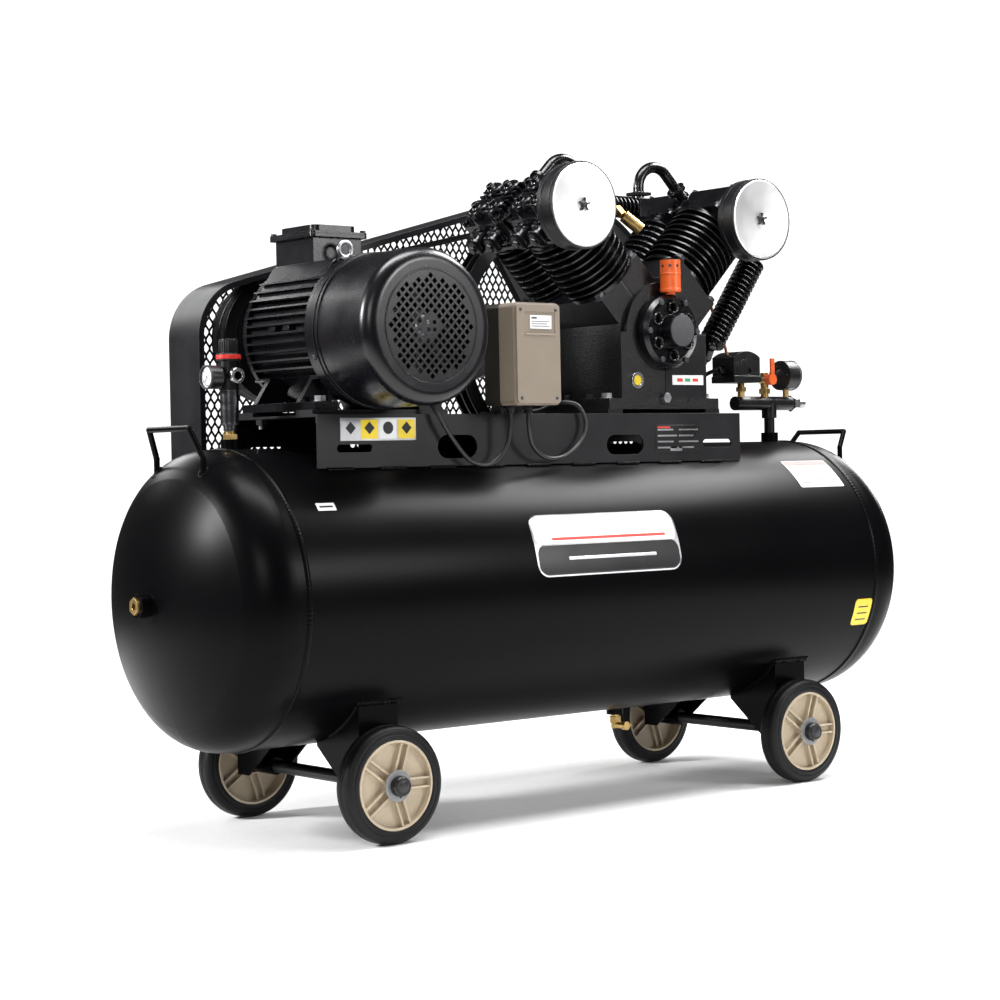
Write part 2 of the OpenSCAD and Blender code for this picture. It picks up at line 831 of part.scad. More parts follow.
module pistons() {
    color("#c4c4c8") for (side = [-1, 1], y = [lp_y, hp_y]) {
        r = (y < 0 ? lp_bore : hp_bore) / 2 - 0.1;
        s = pin_s(y);
        bank(side, y) {
            difference() {
                translate([0, 0, s - 28]) cylinder(h = 72, r = r);
                translate([0, 0, s - 29]) cylinder(h = 62, r = r - 7);
                for (k = [0 : 2]) translate([0, 0, s + 20 + 7 * k]) difference() {
                    cylinder(h = 3, r = r + 1);
                    cylinder(h = 3, r = r - 3);
                }
                translate([0, 0, s]) rotate([90, 0, 0]) cylinder(h = 120, r = 8, center = true);
            }
            translate([0, 0, s]) rotate([90, 0, 0])
                cylinder(h = 2 * sqrt(r * r - 81), r = 8, center = true);
        }
    }
}

// One rod from its crank pin to its piston pin, in crank coordinates.
module connecting_rod(side, y) {
    a = pin_angle(y);
    big = [crank_x + throw_r * sin(a), y + side * bank_offset, crank_z + throw_r * cos(a)];
    s = pin_s(y);
    small = [crank_x + side * s * sin(45), big[1], crank_z + s * cos(45)];
    difference() {
        union() {
            ycyl(big[0], big[2], big[1] - 8, big[1] + 8, 27);
            ycyl(small[0], small[2], small[1] - 9, small[1] + 9, 14);
            bar(big, small, 7);
        }
        ycyl(big[0], big[2], big[1] - 20, big[1] + 20, pin_r + 0.06);
        ycyl(small[0], small[2], small[1] - 20, small[1] + 20, 8.05);
    }
}

module connecting_rods() {
    color("#a8a8ac") for (side = [-1, 1], y = [lp_y, hp_y]) connecting_rod(side, y);
}

module crank_web(y0, y1, a) {
    translate([crank_x, 0, crank_z]) rotate([0, a, 0]) {
        block([-24, y0, -10], [24, y1, throw_r]);
        ycyl(0, throw_r, y0, y1, 24);
        intersection() {
            ycyl(0, 0, y0, y1, 66);
            block([-70, y0 - 1, -70], [70, y1 + 1, -10]);
        }
    }
}

module crankshaft() {
    web = 12;
    color("#77777c") {
        ycyl(crank_x, crank_z, -128, lp_y - 18, journal_r);
        ycyl(crank_x, crank_z, hp_y + 18, 238, journal_r);
        ycyl(crank_x, crank_z, lp_y + 18 + web, hp_y - 18 - web, 30);
        for (y = [lp_y, hp_y]) {
            a = pin_angle(y);
            ycyl(crank_x, crank_z + throw_r * cos(a), y - 18, y + 18, pin_r);
            crank_web(y - 18 - web, y - 18, a);
            crank_web(y + 18, y + 18 + web, a);
        }
    }
}

module cylinder_head(y_low, y_high, bore_r) {
    size_y = y_high - y_low;
    mid = (y_high + y_low) / 2;
    half_x = head_half_x;
    translate([0, mid, head_s]) {
        difference() {
            union() {
                linear_extrude(7) rounded(128, size_y, 12);
                translate([0, 0, 7]) linear_extrude(head_h - 14) rounded(2 * half_x, size_y - 6, 16);
                translate([0, 0, head_h - 7]) linear_extrude(5) rounded(2 * half_x, size_y - 2, 16);
                for (k = [-3 : 3]) translate([k * 12 - 1.6, 10 - size_y / 2, head_h - 3])
                    cube([3.2, size_y - 20, 15]);
                for (sx = [-1, 1], sy = [-1, 1])
                    translate([sx * (half_x - 8), sy * (size_y / 2 - 13), head_h - 3]) hex(10, 13);
            }
            translate([0, 0, -1]) cylinder(h = 24, r = bore_r);
        }
    }
}

module cylinder_heads() {
    lp_low = -124 - lp_y;
    lp_high = mid_y - lp_y - 1;
    hp_low = mid_y - hp_y + 1;
    hp_high = 60;
    color("#202024") for (side = [-1, 1]) {
        bank(side, lp_y) cylinder_head(lp_low, lp_high, 36);
        bank(side, hp_y) cylinder_head(hp_low, hp_high, 28);
    }
}

filter_x = 233.5;
filter_z = 1073;
filter_depth = 50;

function filter_front(side) = -165 + side * bank_offset;

module filter_drums() {
    color("#232326") for (side = [-1, 1]) {
        x = crank_x + side * filter_x;
        y = filter_front(side);
        difference() {
            ycyl(x, filter_z, y + 1.5, y + filter_depth - 9, filter_d / 2);
            ycyl(x, filter_z, y, y + filter_depth - 11, filter_d / 2 - 2);
        }
        difference() {
            ycyl(x, filter_z, y + filter_depth - 9, y + 54, 22);
            bank(side, lp_y) {
                translate([-90, -69, head_s]) cube([180, 120, head_h]);
                translate([-90, -71.1, head_s + head_h - 7.1]) cube([180, 120, 24]);
            }
        }
    }
}

module filter_faces() {
    color("#c9c9cc") for (side = [-1, 1]) {
        x = crank_x + side * filter_x;
        y = filter_front(side);
        yturn(x, filter_z, y) polygon([
            [0, 4], [filter_d / 2 - 3, 1.5], [filter_d / 2 - 3, 0], [filter_d / 2 - 5, 0], [0, 2.5]
        ]);
        ycyl(x, filter_z, y - 3, y + 3, 4);
        block([x - 11, y - 5, filter_z - 2], [x + 11, y - 2, filter_z + 2]);
        difference() {
            ycyl(x, filter_z, y + 4.5, y + filter_depth - 12, filter_d / 2 - 12);
            ycyl(x, filter_z, y + 4, y + filter_depth - 11, filter_d / 2 - 30);
        }
    }
}

// A tube bend in the X-Z plane from angle a0 to a1 round (x, z).
module bend(x, y, z, big_r, r, a0, a1) {
    translate([x, y, z]) rotate([90, 0, 0]) rotate([0, 0, a0])
        rotate_extrude(angle = a1 - a0) translate([big_r, 0]) circle(r);
}

module finned_bar(p, q, r, fin_r, pitch) {
    d = q - p;
    count = floor(norm(d) / pitch);
    translate(p) rotate([0, acos(d[2] / norm(d)), atan2(d[1], d[0])]) {
        cylinder(h = norm(d), r = r);
        for (k = [0 : count - 1]) translate([0, 0, (k + 0.35) * norm(d) / count])
            cylinder(h = 2, r = fin_r);
    }
}

inter_y = 17;
inter_z = 1102;
bend_x = 117;
bend_z = 1141;
bend_r = 42;
pipe_r = 10.5;

module intercooler() {
    leg_x = bend_x - bend_r;
    reach = bend_x + bend_r * cos(45);
    top = bend_z + bend_r * sin(45);
    run = (top - crank_z - reach) * sin(45) - head_half_x;
    end_block = 18;
    core_half = leg_x - end_block + 4;
    color("#1f1f23") {
        finned_bar([crank_x - core_half, inter_y, inter_z], [crank_x + core_half, inter_y, inter_z],
            12, 21, 10);
        for (side = [-1, 1]) translate([crank_x, 0, 0]) mirror([side < 0 ? 1 : 0, 0, 0]) {
            block([leg_x - 14, inter_y - end_block, inter_z - end_block],
                [leg_x + 14, inter_y + end_block, inter_z + end_block]);
            block([leg_x - 17, inter_y - 17, inter_z + 24], [leg_x + 17, inter_y + 17, inter_z + 30]);
            zcyl(leg_x, inter_y, inter_z, bend_z, pipe_r);
            bend(bend_x, inter_y, bend_z, bend_r, pipe_r, 45, 180);
            translate([leg_x, inter_y, bend_z]) sphere(pipe_r + joint);
            translate([reach, inter_y, top]) sphere(pipe_r + joint);
            bar([reach, inter_y, top], [reach + run * sin(45), inter_y, top - run * cos(45)], pipe_r);
            bar([reach + 26, inter_y, top - 26], [reach + 31, inter_y, top - 31], 19);
        }
    }
}

cooler_top = [540, -52, 1003];
cooler_low = [420, -52, 838];

module aftercooler() {
    top_pipe = [crank_x + 262, -52, crank_z + 190];
    color("#1f1f23") {
        finned_bar(cooler_top, cooler_low, 14, 26, 10.5);
        difference() {
            union() {
                bar(top_pipe, cooler_top + [-2, 0, 16], 14);
                bar(cooler_top + [-2, 0, 16], cooler_top, 14);
                translate(cooler_top + [-2, 0, 16]) sphere(14 + joint);
                translate(cooler_top) sphere(14 + joint);
            }
            bank(1, lp_y) translate([-64, -90, head_s]) cube([128, 200, head_h]);
        }
        translate(cooler_low) sphere(14 + joint);
        bar(cooler_low, [420, -40, 815], 11);
        translate([420, -40, 815]) sphere(11 + joint);
        bar([420, -40, 815], [check_valve_x, check_valve_y, 745], 8);
        translate([check_valve_x, check_valve_y, 745]) sphere(8 + joint);
        zcyl(check_valve_x, check_valve_y, 706, 745, 8);
    }
}

// Brass pieces: the end bushings, the check valve, the interstage relief valve, the outlet cock's
// body, the stubs under the switch and the gauge, the regulator's nipple and drain, the drain cock.
module brass_fittings() {
    color("#b08d45") {
        for (m = [0, 1]) mirror([m, 0, 0]) difference() {
            union() {
                xcyl(0, tank_z, apex_x - 10, boss_x, bushing_r);
                translate([boss_x, 0, tank_z]) rotate([0, 90, 0]) hex(5, 25);
            }
            xcyl(0, tank_z, apex_x - 11, boss_x + 6, port_r);
        }
        zcyl(check_valve_x, check_valve_y, 640, 662, 12);
        translate([check_valve_x, check_valve_y, 662]) hex(26, 28);
        zcyl(check_valve_x, check_valve_y, 688, 706, 11);
        bar([crank_x + 2, inter_y - 18, inter_z - 6], [crank_x + 2, inter_y - 36, inter_z - 22], 8);
        bar([crank_x + 2, inter_y - 36, inter_z - 22], [crank_x + 30, inter_y - 52, inter_z - 48], 12);
        zcyl(valve_x, 0, stub_z, valve_z + 14, 8);
        translate([valve_x, 0, 746]) hex(10, 20);
        ycyl(valve_x, valve_z, -9, 9, 10);
        ycyl(valve_x, valve_z, -11.9, -9, 2.95);
        zcyl(switch_x, 0, stub_z, 767, 7);
        translate([switch_x, 0, 750]) hex(9, 18);
        zcyl(gauge_stub_x, 0, stub_z, 757, 6);
        zcyl(regulator_x, 0, 650, 680, 9);
        translate([regulator_x, 0, 666]) hex(9, 23);
        difference() {
            union() {
                zcyl(drain_x, 0, 112, 158, 8);
                translate([drain_x, 0, 122]) hex(12, 20);
                ycyl(drain_x, drain_z, -24, 0, 6);
                ycyl(drain_x, drain_z, -25.9, -24, 1.95);
            }
            zcyl(drain_x, 0, 100, 170, 3);
        }
    }
}

// ---------- starter ----------
box_x0 = -201;
box_x1 = -98;
box_low = 717;
box_high = 893;
seam_y = -165;
box_front = -210;
gland_x = [-180, -140];
gland_y = -167;

module box_section(inset) {
    translate([(box_x0 + box_x1) / 2, (box_low + box_high) / 2])
        rounded(box_x1 - box_x0 - 2 * inset, box_high - box_low - 2 * inset, 9 - inset);
}

module starter_box() {
    mid = (box_x0 + box_x1) / 2;
    color("#7f7565") {
        difference() {
            yplate(seam_y, -124) box_section(0);
            yplate(seam_y - 1, -127) box_section(2.5);
            zcyl(gland_x[0], -146, box_low - 1, box_low + 5, 7);
            for (x = gland_x) zcyl(x, gland_y, box_low - 1, box_low + 5, 7);
        }
        block([mid - 30, -138, 760], [mid + 30, -127, 850]);
        block([mid - 34, -160, 775], [mid + 34, -138, 835]);
    }
}

module starter_cover() {
    color("#a2937f") difference() {
        union() {
            yplate(box_front + 6, seam_y) box_section(0);
            yplate(box_front, box_front + 6) box_section(3);
        }
        yplate(box_front + 8, seam_y + 1) box_section(2.5);
        block([box_x0 + 20, box_front - 1, box_high - 54], [box_x1 - 14, box_front + 1.2, box_high - 16]);
        for (x = gland_x) zcyl(x, gland_y, box_low - 1, box_low + 5, 7);
    }
}

module gland_shape(bore_r) {
    difference() {
        union() {
            hex(6, 17);
            translate([0, 0, 6]) cylinder(h = 7, r = 7.5);
            translate([0, 0, -5]) cylinder(h = 5, r = 6.8);
        }
        translate([0, 0, -6]) cylinder(h = 30, r = bore_r);
    }
}

module cable_glands() {
    color("#18181a") {
        for (x = gland_x) translate([x, gland_y, box_low]) rotate([180, 0, 0]) gland_shape(4);
        translate([gland_x[0], -146, box_low]) rotate([180, 0, 0]) gland_shape(5);
        translate([motor_x + 55, 40, 986]) rotate([0, 90, 0]) union() {
            gland_shape(4);
            translate([0, 0, 13]) difference() {
                cylinder(h = 12, r = 6.5);
                translate([0, 0, -1]) cylinder(h = 20, r = 4);
            }
        }
        translate([505, 0, 790]) rotate([0, -90, 0]) gland_shape(4);
    }
}

module motor_lead() {
    color("#141416") swept_tube(motor_lead_route, 4, 4, [1, 1.7, 0.4]);
}

module switch_lead() {
    color("#141416") swept_tube(switch_lead_route, 4, 4, [0.7, -1, 1.2]);
}

// ---------- air side ----------
manifold_z = 726.5;
stub_z = 736;
switch_x = 555;
valve_x = 622;
valve_z = 774;
gauge_stub_x = 683;

module manifold() {
    z = manifold_z;
    color("#1a1a1c") {
        difference() {
            union() {
                xcyl(0, z, 536, 696, 14);
                zcyl(manifold_x, 0, 668, z, 10.5);
                zcyl(manifold_x, 0, 697, z, 15);
            }
            xcyl(0, z, 540, 697, 9);
            zcyl(switch_x, 0, stub_z, 750, 7);
            zcyl(valve_x, 0, stub_z, 750, 8);
            zcyl(gauge_stub_x, 0, stub_z, 750, 6);
        }
        zcyl(manifold_x, 0, 648, 668, 10.5);
    }
    color("#b9b9bd") difference() {
        union() {
            xcyl(0, z, 680, 697, 8.95);
            translate([696.1, 0, z]) rotate([0, 90, 0]) hex(14, 30);
            xcyl(0, z, 710, 732, 9);
        }
        xcyl(0, z, 679, 733, 5);
    }
}

switch_x0 = 505;
switch_x1 = 580;
lever_y = -12;
lever_z = 795;

module pressure_switch() {
    color("#232225") {
        difference() {
            union() {
                block([switch_x0, -32, 767], [switch_x1, 32, 780]);
                yplate(-30, 30) intersection() {
                    translate([switch_x0 + 1, 780]) square([switch_x1 - switch_x0 - 2, 49]);
                    translate([(switch_x0 + switch_x1) / 2, 769]) circle(60);
                }
            }
            ycyl(548, 790, -40, -24, 7);
            xcyl(0, 790, 500, 512, 6.8);
        }
        xcyl(lever_y, lever_z, switch_x1 - 2, switch_x1 + 2.9, 2.95);
    }
}

module switch_lever() {
    color("#b3261e") {
        difference() {
            xcyl(lever_y, lever_z, switch_x1 + 0.3, switch_x1 + 7, 9);
            xcyl(lever_y, lever_z, switch_x1, switch_x1 + 3, 3);
        }
        block([switch_x1 + 2, lever_y - 4, lever_z + 6], [switch_x1 + 7, lever_y + 4, lever_z + 27]);
    }
}

module unloader_tube() {
    color("#7a4a33") swept_tube(unloader_route, 3, 3, [1, 0.4, 0]);
}

// The lever stands up when the cock is open and lies over towards +X when it is shut.
module valve_lever() {
    color("#d9762b") difference() {
        union() {
            ycyl(valve_x, valve_z, -24, -9.4, 11);
            block([valve_x - 5, -24, valve_z], [valve_x + 5, -20, valve_z + 42]);
        }
        ycyl(valve_x, valve_z, -12, -8, 3);
    }
}

gauge_x = 667;
gauge_z = 783;
small_gauge_z = 769;

module gauges() {
    color("#1c1c1e") {
        difference() {
            xcyl(0, gauge_z, gauge_x, gauge_x + 33, 30);
            xcyl(0, gauge_z, gauge_x + 27, gauge_x + 34, 27);
            zcyl(gauge_stub_x, 0, 750, 757, 6);
        }
        difference() {
            xcyl(0, small_gauge_z, -690, -666, 19.5);
            xcyl(0, small_gauge_z, -691, -686, 17.5);
        }
        xcyl(0, small_gauge_z, -666, regulator_x - 17, 6);
    }
}

module needle_tank() {
    x = gauge_x + 28.5;
    color("#c9c9cc") {
        xcyl(0, gauge_z, x - 1.2, x + 1.5, 2.6);
        translate([x, 0, gauge_z]) rotate([135, 0, 0]) block([0, -0.8, -5], [0.8, 0.8, 20]);
    }
}

module needle_outlet() {
    x = -687.2;
    color("#c9c9cc") {
        xcyl(0, small_gauge_z, x - 1.2, x + 0.9, 1.8);
        translate([x, 0, small_gauge_z]) rotate([-135, 0, 0]) block([-0.8, -0.6, -3], [0, 0.6, 13]);
    }
}

module regulator_body() {
    color("#1d1d20") difference() {
        union() {
            zcyl(regulator_x, 0, 748, 796, 17);
            zcyl(regulator_x, 0, 796, 806, 13);
            ycyl(regulator_x, 771, -27, 0, 12);
            translate([regulator_x + 14, 0, 771]) rotate([0, 90, 0]) cylinder(h = 8, r = 10);
        }
        ycyl(regulator_x, 771, -28, -4, 7);
    }
}

module regulator_knob() {
    color("#1a1a1c") difference() {
        union() {
            zcyl(regulator_x, 0, 796.4, 808, 20);
            zcyl(regulator_x, 0, 808, 832, 15);
        }
        zcyl(regulator_x, 0, 796, 806.6, 13.06);
    }
}

module regulator_bowl() {
    color("#b5b5b8") {
        zcyl(regulator_x, 0, 690, 748, 15.5);
        zcyl(regulator_x, 0, 680, 690, 11);
    }
}

module drain_tap() {
    color("#b08d45") {
        difference() {
            ycyl(drain_x, drain_z, -34, -24.3, 8);
            ycyl(drain_x, drain_z, -26, -24, 2);
        }
        block([drain_x - 15, -32, drain_z - 2], [drain_x + 15, -28, drain_z + 2]);
    }
}

tank_shell();
tank_heads();
tank_handles();
leg_brackets();
axles();
rim(0);  // rim_front_left
rim(1);  // rim_rear_left
rim(2);  // rim_front_right
rim(3);  // rim_rear_right
tyre(0);  // tyre_front_left
tyre(1);  // tyre_rear_left
tyre(2);  // tyre_front_right
tyre(3);  // tyre_rear_right
platform();
fasteners();
motor_housing();
motor_end_shields();
stator_core();
bearings();
fan_cowl();
terminal_box();
terminal_lid();
rotor_shaft();
motor_fan();
motor_pulley();
v_belts();
guard_band();
guard_mesh();
flywheel();
crankshaft();
crankcase();
bearing_cover();
breather();
sight_glass();
cylinders();
pistons();
connecting_rods();
cylinder_heads();
filter_drums();
filter_faces();
intercooler();
aftercooler();
brass_fittings();
starter_box();
starter_cover();
cable_glands();
motor_lead();
switch_lead();
manifold();
pressure_switch();
switch_lever();
unloader_tube();
valve_lever();
gauges();
needle_tank();
needle_outlet();
regulator_body();
regulator_knob();
regulator_bowl();
drain_tap();
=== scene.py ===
import json
import math

import bmesh
import bpy
from mathutils import Matrix, Vector


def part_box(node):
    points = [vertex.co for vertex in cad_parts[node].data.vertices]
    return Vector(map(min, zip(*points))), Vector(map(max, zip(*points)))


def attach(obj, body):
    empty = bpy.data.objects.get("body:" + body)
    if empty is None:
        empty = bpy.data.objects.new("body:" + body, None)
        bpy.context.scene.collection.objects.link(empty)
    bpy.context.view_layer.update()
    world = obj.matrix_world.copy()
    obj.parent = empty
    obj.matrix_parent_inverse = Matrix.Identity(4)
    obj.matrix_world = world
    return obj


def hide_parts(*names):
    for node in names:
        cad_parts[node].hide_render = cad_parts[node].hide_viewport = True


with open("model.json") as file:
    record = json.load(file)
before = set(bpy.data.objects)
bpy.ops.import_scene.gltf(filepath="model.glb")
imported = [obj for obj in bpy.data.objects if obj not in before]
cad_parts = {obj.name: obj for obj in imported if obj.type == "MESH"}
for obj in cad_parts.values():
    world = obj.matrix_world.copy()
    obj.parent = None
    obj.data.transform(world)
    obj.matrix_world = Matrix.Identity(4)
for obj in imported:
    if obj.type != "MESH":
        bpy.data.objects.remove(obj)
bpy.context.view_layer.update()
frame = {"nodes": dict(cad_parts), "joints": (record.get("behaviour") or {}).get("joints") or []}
nodes = frame["nodes"]
scene = bpy.context.scene
scene.view_settings.view_transform = "Standard"
ROOT = "frame"
MM = 0.001


def pivot(joint):
    """A point on a joint's axis, in millimetres."""
    place = next(j["pos_m"] for j in frame["joints"] if j["name"] == joint)
    return [round(v / MM, 3) for v in place]


# ---------------------------------------------------------------- camera
AZ = math.radians(-39.32)
PITCH = math.radians(0.9987)
ROLL = math.radians(-1.1446)
CAMERA_AT = (-2.6758, -3.1806, 0.6225)
LENS = 81.475
forward = Vector((-math.sin(AZ) * math.cos(PITCH), math.cos(AZ) * math.cos(PITCH), -math.sin(PITCH)))
right = Vector((math.cos(AZ), math.sin(AZ), 0))
up = right.cross(forward)
right_r = right * math.cos(ROLL) + up * math.sin(ROLL)
up_r = up * math.cos(ROLL) - right * math.sin(ROLL)
camera = bpy.data.objects.new("camera", bpy.data.cameras.new("camera"))
scene.collection.objects.link(camera)
camera.data.lens = LENS
camera.data.sensor_width = 36
camera.data.clip_end = 60
camera.matrix_world = Matrix.Translation(CAMERA_AT) @ Matrix((
    (right_r.x, up_r.x, -forward.x),
    (right_r.y, up_r.y, -forward.y),
    (right_r.z, up_r.z, -forward.z))).to_4x4()
scene.camera = camera


# ---------------------------------------------------------------- materials
def graph(name):
    m = bpy.data.materials.new(name)
    m.use_nodes = True
    t = m.node_tree
    return m, t, t.nodes["Principled BSDF"]


def node(t, kind, **inputs):
    n = t.nodes.new(kind)
    for k, v in inputs.items():
        n.inputs[k.replace("_", " ")].default_value = v
    return n


def coords(t, stretch=(1, 1, 1), origin=(0, 0, 0)):
    c = t.nodes.new("ShaderNodeTexCoord")
    m = t.nodes.new("ShaderNodeMapping")
    m.inputs["Scale"].default_value = stretch
    m.inputs["Location"].default_value = [-o * s for o, s in zip(origin, stretch)]
    t.links.new(c.outputs["Object"], m.inputs["Vector"])
    return m.outputs["Vector"]


def spread(t, value, low, high):
    r = node(t, "ShaderNodeMapRange")
    r.inputs["From Min"].default_value = 0.3
    r.inputs["From Max"].default_value = 0.7
    r.inputs["To Min"].default_value = low
    r.inputs["To Max"].default_value = high
    t.links.new(value, r.inputs["Value"])
    return r.outputs["Result"]


def blend_colour(t, factor, a, b):
    m = t.nodes.new("ShaderNodeMix")
    m.data_type = "RGBA"
    t.links.new(factor, m.inputs["Factor"])
    for socket, value in ((m.inputs[6], a), (m.inputs[7], b)):
        if isinstance(value, (tuple, list)):
            socket.default_value = (*value, 1)
        else:
            t.links.new(value, socket)
    return m.outputs[2]


def surface(name, rgb, rough, metal=0.0, grain=700, bump=0.1, depth=0.0003, vary=0.2, patch=9,
            edge=0.0008, edge_highlight=0.5, coat=0.0, stretch=(1, 1, 1), spec=0.5, rough_vary=0.06):
    """A finish with cloudy colour, uneven gloss, a fine grain in relief and softened edges with a painted
    highlight along them.
    """
    m, t, p = graph(name)
    place = coords(t, stretch)
    clouds = node(t, "ShaderNodeTexNoise", Scale=patch, Detail=5.0, Roughness=0.65)
    fine = node(t, "ShaderNodeTexNoise", Scale=grain, Detail=4.0, Roughness=0.6)
    for n in (clouds, fine):
        t.links.new(place, n.inputs["Vector"])
    dark = tuple(c * (1 - vary) for c in rgb)
    light = tuple(min(1, c * (1 + vary)) for c in rgb)
    colour = blend_colour(t, spread(t, clouds.outputs[0], 0, 1), dark, light)
    relief = node(t, "ShaderNodeBump", Strength=bump, Distance=depth)
    t.links.new(fine.outputs[0], relief.inputs["Height"])
    if edge:
        soft = t.nodes.new("ShaderNodeBevel")
        soft.samples = 4
        soft.inputs["Radius"].default_value = edge
        t.links.new(soft.outputs["Normal"], relief.inputs["Normal"])
        # Painted highlight: where the bevelled normal turns from the true normal, the colour blends towards a
        # lighter copy of itself.
        if edge_highlight:
            geo = t.nodes.new("ShaderNodeNewGeometry")
            dot = t.nodes.new("ShaderNodeVectorMath")
            dot.operation = "DOT_PRODUCT"
            t.links.new(soft.outputs["Normal"], dot.inputs[0])
            t.links.new(geo.outputs["Normal"], dot.inputs[1])
            edge_highlight_mask = node(t, "ShaderNodeMapRange")
            edge_highlight_mask.inputs["From Min"].default_value = 0.99
            edge_highlight_mask.inputs["From Max"].default_value = 0.86
            edge_highlight_mask.inputs["To Max"].default_value = edge_highlight
            t.links.new(dot.outputs["Value"], edge_highlight_mask.inputs["Value"])
            highlight_colour = tuple(min(1, c * 1.8 + 0.03) for c in rgb)
            colour = blend_colour(t, edge_highlight_mask.outputs["Result"], colour, highlight_colour)
    t.links.new(colour, p.inputs["Base Color"])
    t.links.new(spread(t, clouds.outputs[0], rough - rough_vary, rough + rough_vary), p.inputs["Roughness"])
    t.links.new(relief.outputs["Normal"], p.inputs["Normal"])
    p.inputs["Metallic"].default_value = metal
    p.inputs["Coat Weight"].default_value = coat
    p.inputs["Coat Roughness"].default_value = 0.12
    p.inputs["Specular IOR Level"].default_value = spec
    return m


def two_tone(base, axis, level, rgb, rough, metal):
    """The same finish up to a level along one axis, and another colour beyond it."""
    t = base.node_tree
    p = t.nodes["Principled BSDF"]
    split = t.nodes.new("ShaderNodeSeparateXYZ")
    t.links.new(coords(t), split.inputs[0])
    over = t.nodes.new("ShaderNodeMath")
    over.operation = "GREATER_THAN"
    over.inputs[1].default_value = level
    t.links.new(split.outputs[axis], over.inputs[0])
    colour = p.inputs["Base Color"].links[0].from_socket
    t.links.new(blend_colour(t, over.outputs[0], colour, rgb), p.inputs["Base Color"])
    old = p.inputs["Roughness"].links[0].from_socket
    mix = t.nodes.new("ShaderNodeMix")
    t.links.new(over.outputs[0], mix.inputs["Factor"])
    t.links.new(old, mix.inputs[2])
    mix.inputs[3].default_value = rough
    t.links.new(mix.outputs[0], p.inputs["Roughness"])
    if metal:
        t.links.new(over.outputs[0], p.inputs["Metallic"])
    return base


tank_paint = surface("tank_paint", (0.0016, 0.0016, 0.0020), 0.30, grain=900, bump=0.06, edge_highlight=0.15,
                     vary=0.12, patch=3, rough_vary=0.03, spec=0.055)
sheet_paint = surface("sheet_paint", (0.0060, 0.0060, 0.0075), 0.42, grain=800, bump=0.08, spec=0.36)
guard_paint = surface("guard_paint", (0.0035, 0.0035, 0.0048), 0.40, grain=800, bump=0.08, spec=0.32)
motor_paint = surface("motor_paint", (0.0030, 0.0030, 0.0044), 0.27, grain=500, bump=0.10, spec=0.42)
cast_rough = surface("cast_rough", (0.0030, 0.0030, 0.0040), 0.34, grain=300, bump=0.95, depth=0.0012,
                     vary=0.3, patch=40, spec=0.36)
cast_smooth = surface("cast_smooth", (0.0026, 0.0026, 0.0036), 0.21, grain=200, bump=0.26, depth=0.0010,
                      vary=0.3, patch=25, edge=0.0014, spec=0.42)
machined = surface("machined_paint", (0.0040, 0.0040, 0.0052), 0.36, grain=900, bump=0.1, spec=0.38)
cap_texture = surface("cap_texture", (0.045, 0.045, 0.05), 0.6, grain=520, bump=0.9, depth=0.0006, patch=90)
rim_paint = surface("rim_paint", (0.44, 0.36, 0.255), 0.42, grain=500, bump=0.1, vary=0.1, patch=30,
                    edge_highlight=0.6, edge=0.001, spec=0.6)
rubber = surface("tyre_rubber", (0.0028, 0.0028, 0.0034), 0.46, grain=600, bump=0.3, vary=0.25, patch=40,
                 edge_highlight=0.2, spec=0.22)
belt = surface("belt_rubber", (0.018, 0.018, 0.018), 0.7, grain=900, bump=0.35, patch=60)
lead = surface("lead_rubber", (0.012, 0.012, 0.013), 0.38, grain=900, bump=0.1, patch=50, edge=0)
hub_grey = surface("hub_grey", (0.20, 0.205, 0.21), 0.34, 0.35, grain=500, bump=0.12, patch=60)
steel = surface("zinc_steel", (0.42, 0.42, 0.44), 0.35, 1.0, grain=500, bump=0.12, patch=60)
dark_steel = surface("dark_steel", (0.06, 0.06, 0.065), 0.42, 0.6, grain=500, bump=0.15, patch=60)
bright = surface("bright_steel", (0.62, 0.62, 0.64), 0.22, 1.0, grain=400, bump=0.05, patch=30)
brass = surface("brass", (0.62, 0.42, 0.16), 0.32, 1.0, grain=400, bump=0.1, vary=0.18, patch=60)
orange = surface("orange_plastic", (0.66, 0.105, 0.018), 0.36, grain=500, bump=0.08, vary=0.1, patch=40)
red = surface("red_plastic", (0.62, 0.03, 0.02), 0.35, grain=500, bump=0.06, vary=0.1, patch=60)
# Painted shade: the starter box's base is the same taupe plastic as its cover, darkened into a shaded copy
# for its unlit side.
taupe_painted_shade = surface("box_plastic", (0.020, 0.017, 0.013), 0.45, grain=1100, bump=0.3, vary=0.06, patch=25)
taupe_light = surface("cover_plastic", (0.235, 0.192, 0.146), 0.48, grain=1100, bump=0.3, vary=0.05,
                      patch=25, edge=0.002)
plastic = surface("black_plastic", (0.006, 0.006, 0.007), 0.34, grain=1000, bump=0.2, patch=50, edge=0.0018,
                  spec=0.42)
drum = surface("filter_plastic", (0.005, 0.005, 0.006), 0.34, grain=900, bump=0.12, patch=30)
winding = surface("winding", (0.32, 0.12, 0.04), 0.45, 0.4, grain=300, bump=0.6, stretch=(1, 6, 1))
nylon = surface("tube_nylon", (0.30, 0.10, 0.045), 0.35, grain=700, bump=0.08, edge=0)
pale = surface("label_white", (0.80, 0.80, 0.80), 0.4, grain=900, bump=0.04, vary=0.04, edge=0)
ink = surface("label_black", (0.012, 0.012, 0.013), 0.3, grain=900, bump=0.04, edge=0)
silver = surface("label_silver", (0.62, 0.62, 0.64), 0.3, 0.9, grain=900, bump=0.04, edge=0)
label_red = surface("label_red", (0.62, 0.05, 0.04), 0.4, grain=900, bump=0.04, edge=0)
label_yellow = surface("label_yellow", (0.86, 0.62, 0.03), 0.4, grain=900, bump=0.04, edge=0)
label_green = surface("label_green", (0.05, 0.30, 0.12), 0.4, grain=900, bump=0.04, edge=0)
yellow_glass = surface("sight_window", (0.75, 0.55, 0.04), 0.15, grain=200, bump=0.1, coat=0.6, edge=0)
alloy = surface("bowl_alloy", (0.34, 0.34, 0.36), 0.2, 1.0, grain=300, bump=0.1, stretch=(1, 1, 8))
